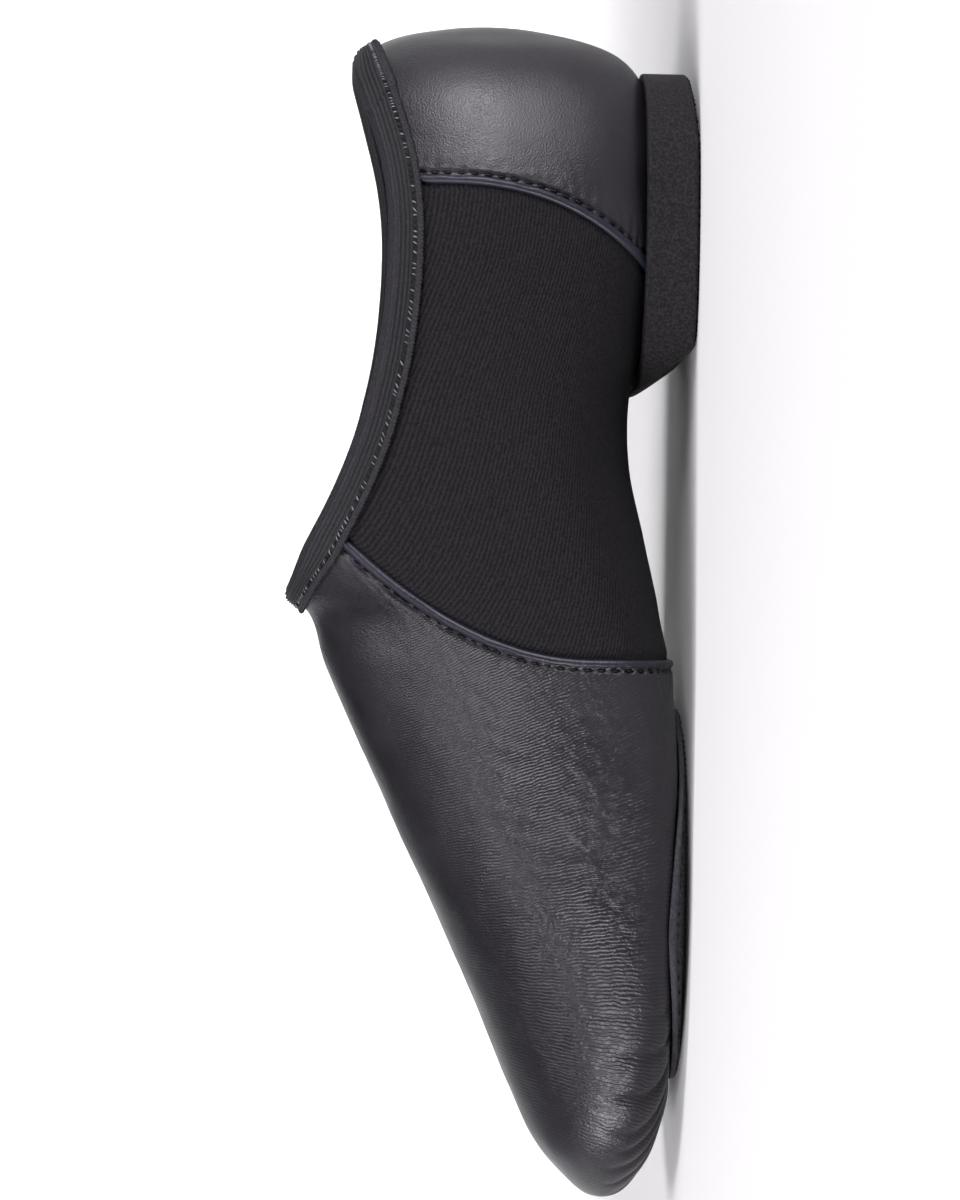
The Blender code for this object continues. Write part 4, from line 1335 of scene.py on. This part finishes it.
def fibre_group():
    """Fibrous, uneven height of elastic."""
    group, given, gives = new_group("elastic_fibres", {}, ("Height",))
    feed(group, gives["Height"], noise_texture(group, given["Vector"], 2300.0, 3.0, 0.65))
    return group


def base_material(name):
    """A material, its node tree, its shader and the place on the object."""
    material = bpy.data.materials.new(name)
    material.use_nodes = True
    tree = material.node_tree
    place = tree.nodes.new("ShaderNodeTexCoord").outputs["Object"]
    return material, tree, tree.nodes["Principled BSDF"], place


def group_outputs(tree, group, place, values):
    """The outputs of a shader group, placed on the object with its own values."""
    node = add(tree, "ShaderNodeGroup", {}, node_tree=group)
    for label, value in {"Vector": place, **values}.items():
        feed(tree, node.inputs[label], value)
    return node.outputs


def tone_ramp(tree, value, low, high, dark, light):
    """A colour between dark and light as value goes from low to high."""
    node = add(tree, "ShaderNodeValToRGB", {0: value})
    first, last = node.color_ramp.elements
    first.position, last.position = low, high
    first.color, last.color = (*dark, 1), (*light, 1)
    return node.outputs[0]


def bump(tree, height, distance, strength, below=None):
    """A surface normal for a height. below: the normal of a coarser bump under it."""
    node = add(tree, "ShaderNodeBump", {"Height": height, "Strength": strength, "Distance": distance})
    if below is not None:
        tree.links.new(below, node.inputs["Normal"])
    return node.outputs[0]


def finish_shader(tree, shader, values):
    """Feeds the shader's own sockets with values and with the outputs of other nodes."""
    for label, value in values.items():
        feed(tree, shader.inputs[label], value)


def leather_material(name, grain, wrinkles, look):
    """Satin leather, from the values of a Leather."""
    material, tree, shader, place = base_material(name)
    grained = group_outputs(tree, grain, place, {"Cells": look.cells})
    folds = group_outputs(tree, wrinkles, place, look.band)
    relief = bump(tree, folds["Height"], 0.10 * MM, look.wrinkled)
    values = {
        "Base Color": tone_ramp(tree, grained["Tone"], 0.35, 0.68, look.dark, look.light),
        "Roughness": value_range(tree, grained["Tone"], 0.3, 0.7, look.rough - 0.05, look.rough + 0.06),
        "Specular IOR Level": 0.28,
        "Specular Tint": (0.97, 0.93, 1.0, 1),
        "Coat Weight": 0.05,
        "Coat Roughness": 0.30,
        "Normal": bump(tree, grained["Height"], 0.10 * MM, look.pebbled, relief),
    }
    finish_shader(tree, shader, values)
    return material


def knit_material(name, knit, look):
    """Matt knitted cloth, from the values of a Knit."""
    material, tree, shader, place = base_material(name)
    cloth = group_outputs(tree, knit, place, {"Wales": look.wales, "Courses": look.courses})
    values = {
        "Base Color": tone_ramp(tree, cloth["Tone"], 0.36, 0.66, look.dark, look.light),
        "Roughness": 0.85,
        "Specular IOR Level": 0.15,
        "Normal": bump(tree, cloth["Height"], 0.14 * MM, 0.46),
    }
    finish_shader(tree, shader, values)
    return material


def elastic_material(name, fibres, dark, light):
    """Matt, fibrous elastic, dark in its hollows. With the darker shade colours it paints the shade in the
    rib valleys and in the trench of the band.
    """
    material, tree, shader, place = base_material(name)
    height = group_outputs(tree, fibres, place, {})["Height"]
    values = {
        "Base Color": tone_ramp(tree, height, 0.36, 0.70, dark, light),
        "Roughness": 0.7,
        "Specular IOR Level": 0.25,
        "Normal": bump(tree, height, 0.25 * MM, 0.7),
    }
    finish_shader(tree, shader, values)
    return material


def foam_material(name, grit, look):
    """Foam or rubber with fine pale specks, from the values of a Foam."""
    material, tree, shader, place = base_material(name)
    gritty = group_outputs(tree, grit, place, {})
    body = tone_ramp(tree, gritty["Tone"], 0.35, 0.65, look.dark, look.light)
    specks = value_range(tree, gritty["Height"], 0.42, 0.64, 0.0, 1.0)
    mix = add(tree, "ShaderNodeMix", {}, data_type="RGBA")
    for socket, value in ((0, specks), (6, body), (7, (*look.speck, 1))):
        feed(tree, mix.inputs[socket], value)
    values = {
        "Base Color": mix.outputs[2],
        "Roughness": value_range(tree, gritty["Height"], 0.3, 0.7, look.rough - 0.06, look.rough + 0.06),
        "Specular IOR Level": 0.2,
        "Normal": bump(tree, gritty["Height"], 0.16 * MM, 0.6),
    }
    finish_shader(tree, shader, values)
    return material


def thread_material(name, twist, colour):
    """Thread of one colour, darker between its twists."""
    material, tree, shader, place = base_material(name)
    tone = group_outputs(tree, twist, place, {})["Tone"]
    dark = tuple(value * 0.55 for value in colour)
    values = {
        "Base Color": tone_ramp(tree, tone, 0.35, 0.65, dark, colour),
        "Roughness": 0.6,
        "Specular IOR Level": 0.2,
    }
    finish_shader(tree, shader, values)
    return material


# Studio
CAMERA_LENS = 150.0
SENSOR = 36.0
PICTURE_HEIGHT = 1200
SHOE_PIXELS = 1168
SHOE_CENTRE_DOWN = 12
CAMERA_RISE = math.radians(2.5)
CAMERA_ROLL = math.radians(1.0)
SWEEP_RADIUS = 2.6
SWEEP_CURVE = 0.8
SWEEP_TOP = 1.2
FLOOR_TONE = 0.54
SKY_POWER = 0.07
WHITE = (1.0, 1.0, 1.0)
VIOLET = (0.99, 0.965, 1.0)
MIDDLE = (0, 0, 0.03)

Light = namedtuple("Light", "name place aim width height power colour")
LIGHTS = [
    Light("from_heel", (-1.28, 0.74, 0.20), MIDDLE, 1.0, 0.7, 48, VIOLET),
    Light("from_toe", (1.12, 0.58, 0.44), MIDDLE, 0.7, 0.5, 26, VIOLET),
    Light("from_above", (0.10, 0.38, 1.25), MIDDLE, 0.7, 0.4, 12, VIOLET),
    Light("from_front", (0.30, 1.00, 1.05), MIDDLE, 1.2, 0.5, 3, VIOLET),
    Light("on_wall", (0, -0.50, 1.20), (0, -SWEEP_RADIUS, 0.60), 2.4, 0.5, 120, WHITE),
]


def make_camera():
    """Looks at the outer side of the shoe from just above the floor, with the heel up in the picture."""
    shown = LENGTH * PICTURE_HEIGHT / SHOE_PIXELS
    away = shown * CAMERA_LENS / SENSOR
    forward = Vector((0, -math.cos(CAMERA_RISE), -math.sin(CAMERA_RISE)))
    heel_up = Vector((-1, 0, 0))
    to_floor = forward.cross(heel_up)
    right = math.cos(CAMERA_ROLL) * to_floor + math.sin(CAMERA_ROLL) * heel_up
    up = math.cos(CAMERA_ROLL) * heel_up - math.sin(CAMERA_ROLL) * to_floor
    centre = (cad_box[0] + cad_box[1]) / 2
    aim = centre + up * (shown * SHOE_CENTRE_DOWN / PICTURE_HEIGHT)
    data = bpy.data.cameras.new("camera")
    data.lens = CAMERA_LENS
    data.sensor_width = SENSOR
    data.clip_start = 0.05
    data.clip_end = 30
    camera = bpy.data.objects.new("camera", data)
    bpy.context.scene.collection.objects.link(camera)
    turned = Matrix((right, up, -forward)).transposed().to_4x4()
    camera.matrix_world = Matrix.Translation(aim - forward * away) @ turned
    bpy.context.scene.camera = camera


def make_light(light):
    """A soft light of the table, turned towards its aim."""
    data = bpy.data.lights.new(light.name, "AREA")
    data.shape = "RECTANGLE"
    data.size = light.width
    data.size_y = light.height
    data.energy = light.power
    data.color = light.colour
    lamp = bpy.data.objects.new(light.name, data)
    bpy.context.scene.collection.objects.link(lamp)
    lamp.location = light.place
    lamp.rotation_euler = (Vector(light.aim) - Vector(light.place)).to_track_quat("-Z", "Y").to_euler()


def make_floor():
    """A pale floor that curves up into a round wall."""
    turns, curve_steps = 96, 12
    profile = [(SWEEP_RADIUS * 0.25, 0.0), (SWEEP_RADIUS - SWEEP_CURVE, 0.0)]
    for step in range(1, curve_steps + 1):
        angle = math.pi / 2 * step / curve_steps
        radius = SWEEP_RADIUS - SWEEP_CURVE * (1 - math.sin(angle))
        profile.append((radius, SWEEP_CURVE * (1 - math.cos(angle))))
    profile.append((SWEEP_RADIUS, SWEEP_TOP))
    points = []
    for radius, height in profile:
        for turn in range(turns):
            angle = 2 * math.pi * turn / turns
            points.append((radius * math.cos(angle), radius * math.sin(angle), height))
    faces = grid_faces(len(profile), turns)
    points.append((0.0, 0.0, 0.0))
    faces += [((turn + 1) % turns, turn, len(points) - 1) for turn in range(turns)]
    material, tree, shader, _ = base_material("pale_floor")
    finish_shader(tree, shader, {"Base Color": (FLOOR_TONE, FLOOR_TONE, FLOOR_TONE, 1), "Roughness": 0.9})
    floor = mesh_object("studio_floor", points, faces, material)


def make_studio():
    """The floor, a pale sky and the soft lights."""
    make_floor()
    world = bpy.data.worlds.new("studio")
    bpy.context.scene.world = world
    world.use_nodes = True
    sky = world.node_tree.nodes["Background"]
    sky.inputs["Color"].default_value = (*WHITE, 1)
    sky.inputs["Strength"].default_value = SKY_POWER
    bpy.context.scene.view_settings.view_transform = "Standard"
    for light in LIGHTS:
        make_light(light)


def main():
    """Makes the materials, the pieces, the studio and the camera."""
    grain, wrinkles, knit = grain_group(), wrinkle_group(), knit_group()
    grit, twist, fibres = grit_group(), twist_group(), fibre_group()
    edge_leather = leather_material("turned_edge", grain, wrinkles, EDGE_LEATHER)
    lining = knit_material("lining_cloth", knit, LINING_KNIT)
    elastic = elastic_material("ribbed_elastic", fibres, ELASTIC_DARK, ELASTIC_LIGHT)
    # The rib valleys and the trench of the band get a darker copy of the elastic: painted shade
    valley_shade = elastic_material("elastic_painted_valley_shade", fibres, VALLEY_SHADE_DARK, VALLEY_SHADE_LIGHT)
    dark_thread = thread_material("dark_thread", twist, DARK_THREAD)
    pale_thread = thread_material("pale_thread", twist, PALE_THREAD)
    make_vamp(leather_material("vamp_leather", grain, wrinkles, VAMP_LEATHER), edge_leather)
    make_counter(leather_material("counter_leather", grain, wrinkles, COUNTER_LEATHER), edge_leather)
    make_fabric(knit_material("stretch_knit", knit, STRETCH_KNIT))
    make_lining(lining)
    grid, girth = make_binding(elastic, valley_shade)
    make_threads(grid, girth, dark_thread, pale_thread)
    make_heel(foam_material("heel_foam", grit, HEEL_FOAM))
    make_patch(foam_material("sole_rubber", grit, SOLE_RUBBER))
    make_insole(lining)
    make_studio()
    make_camera()


main()
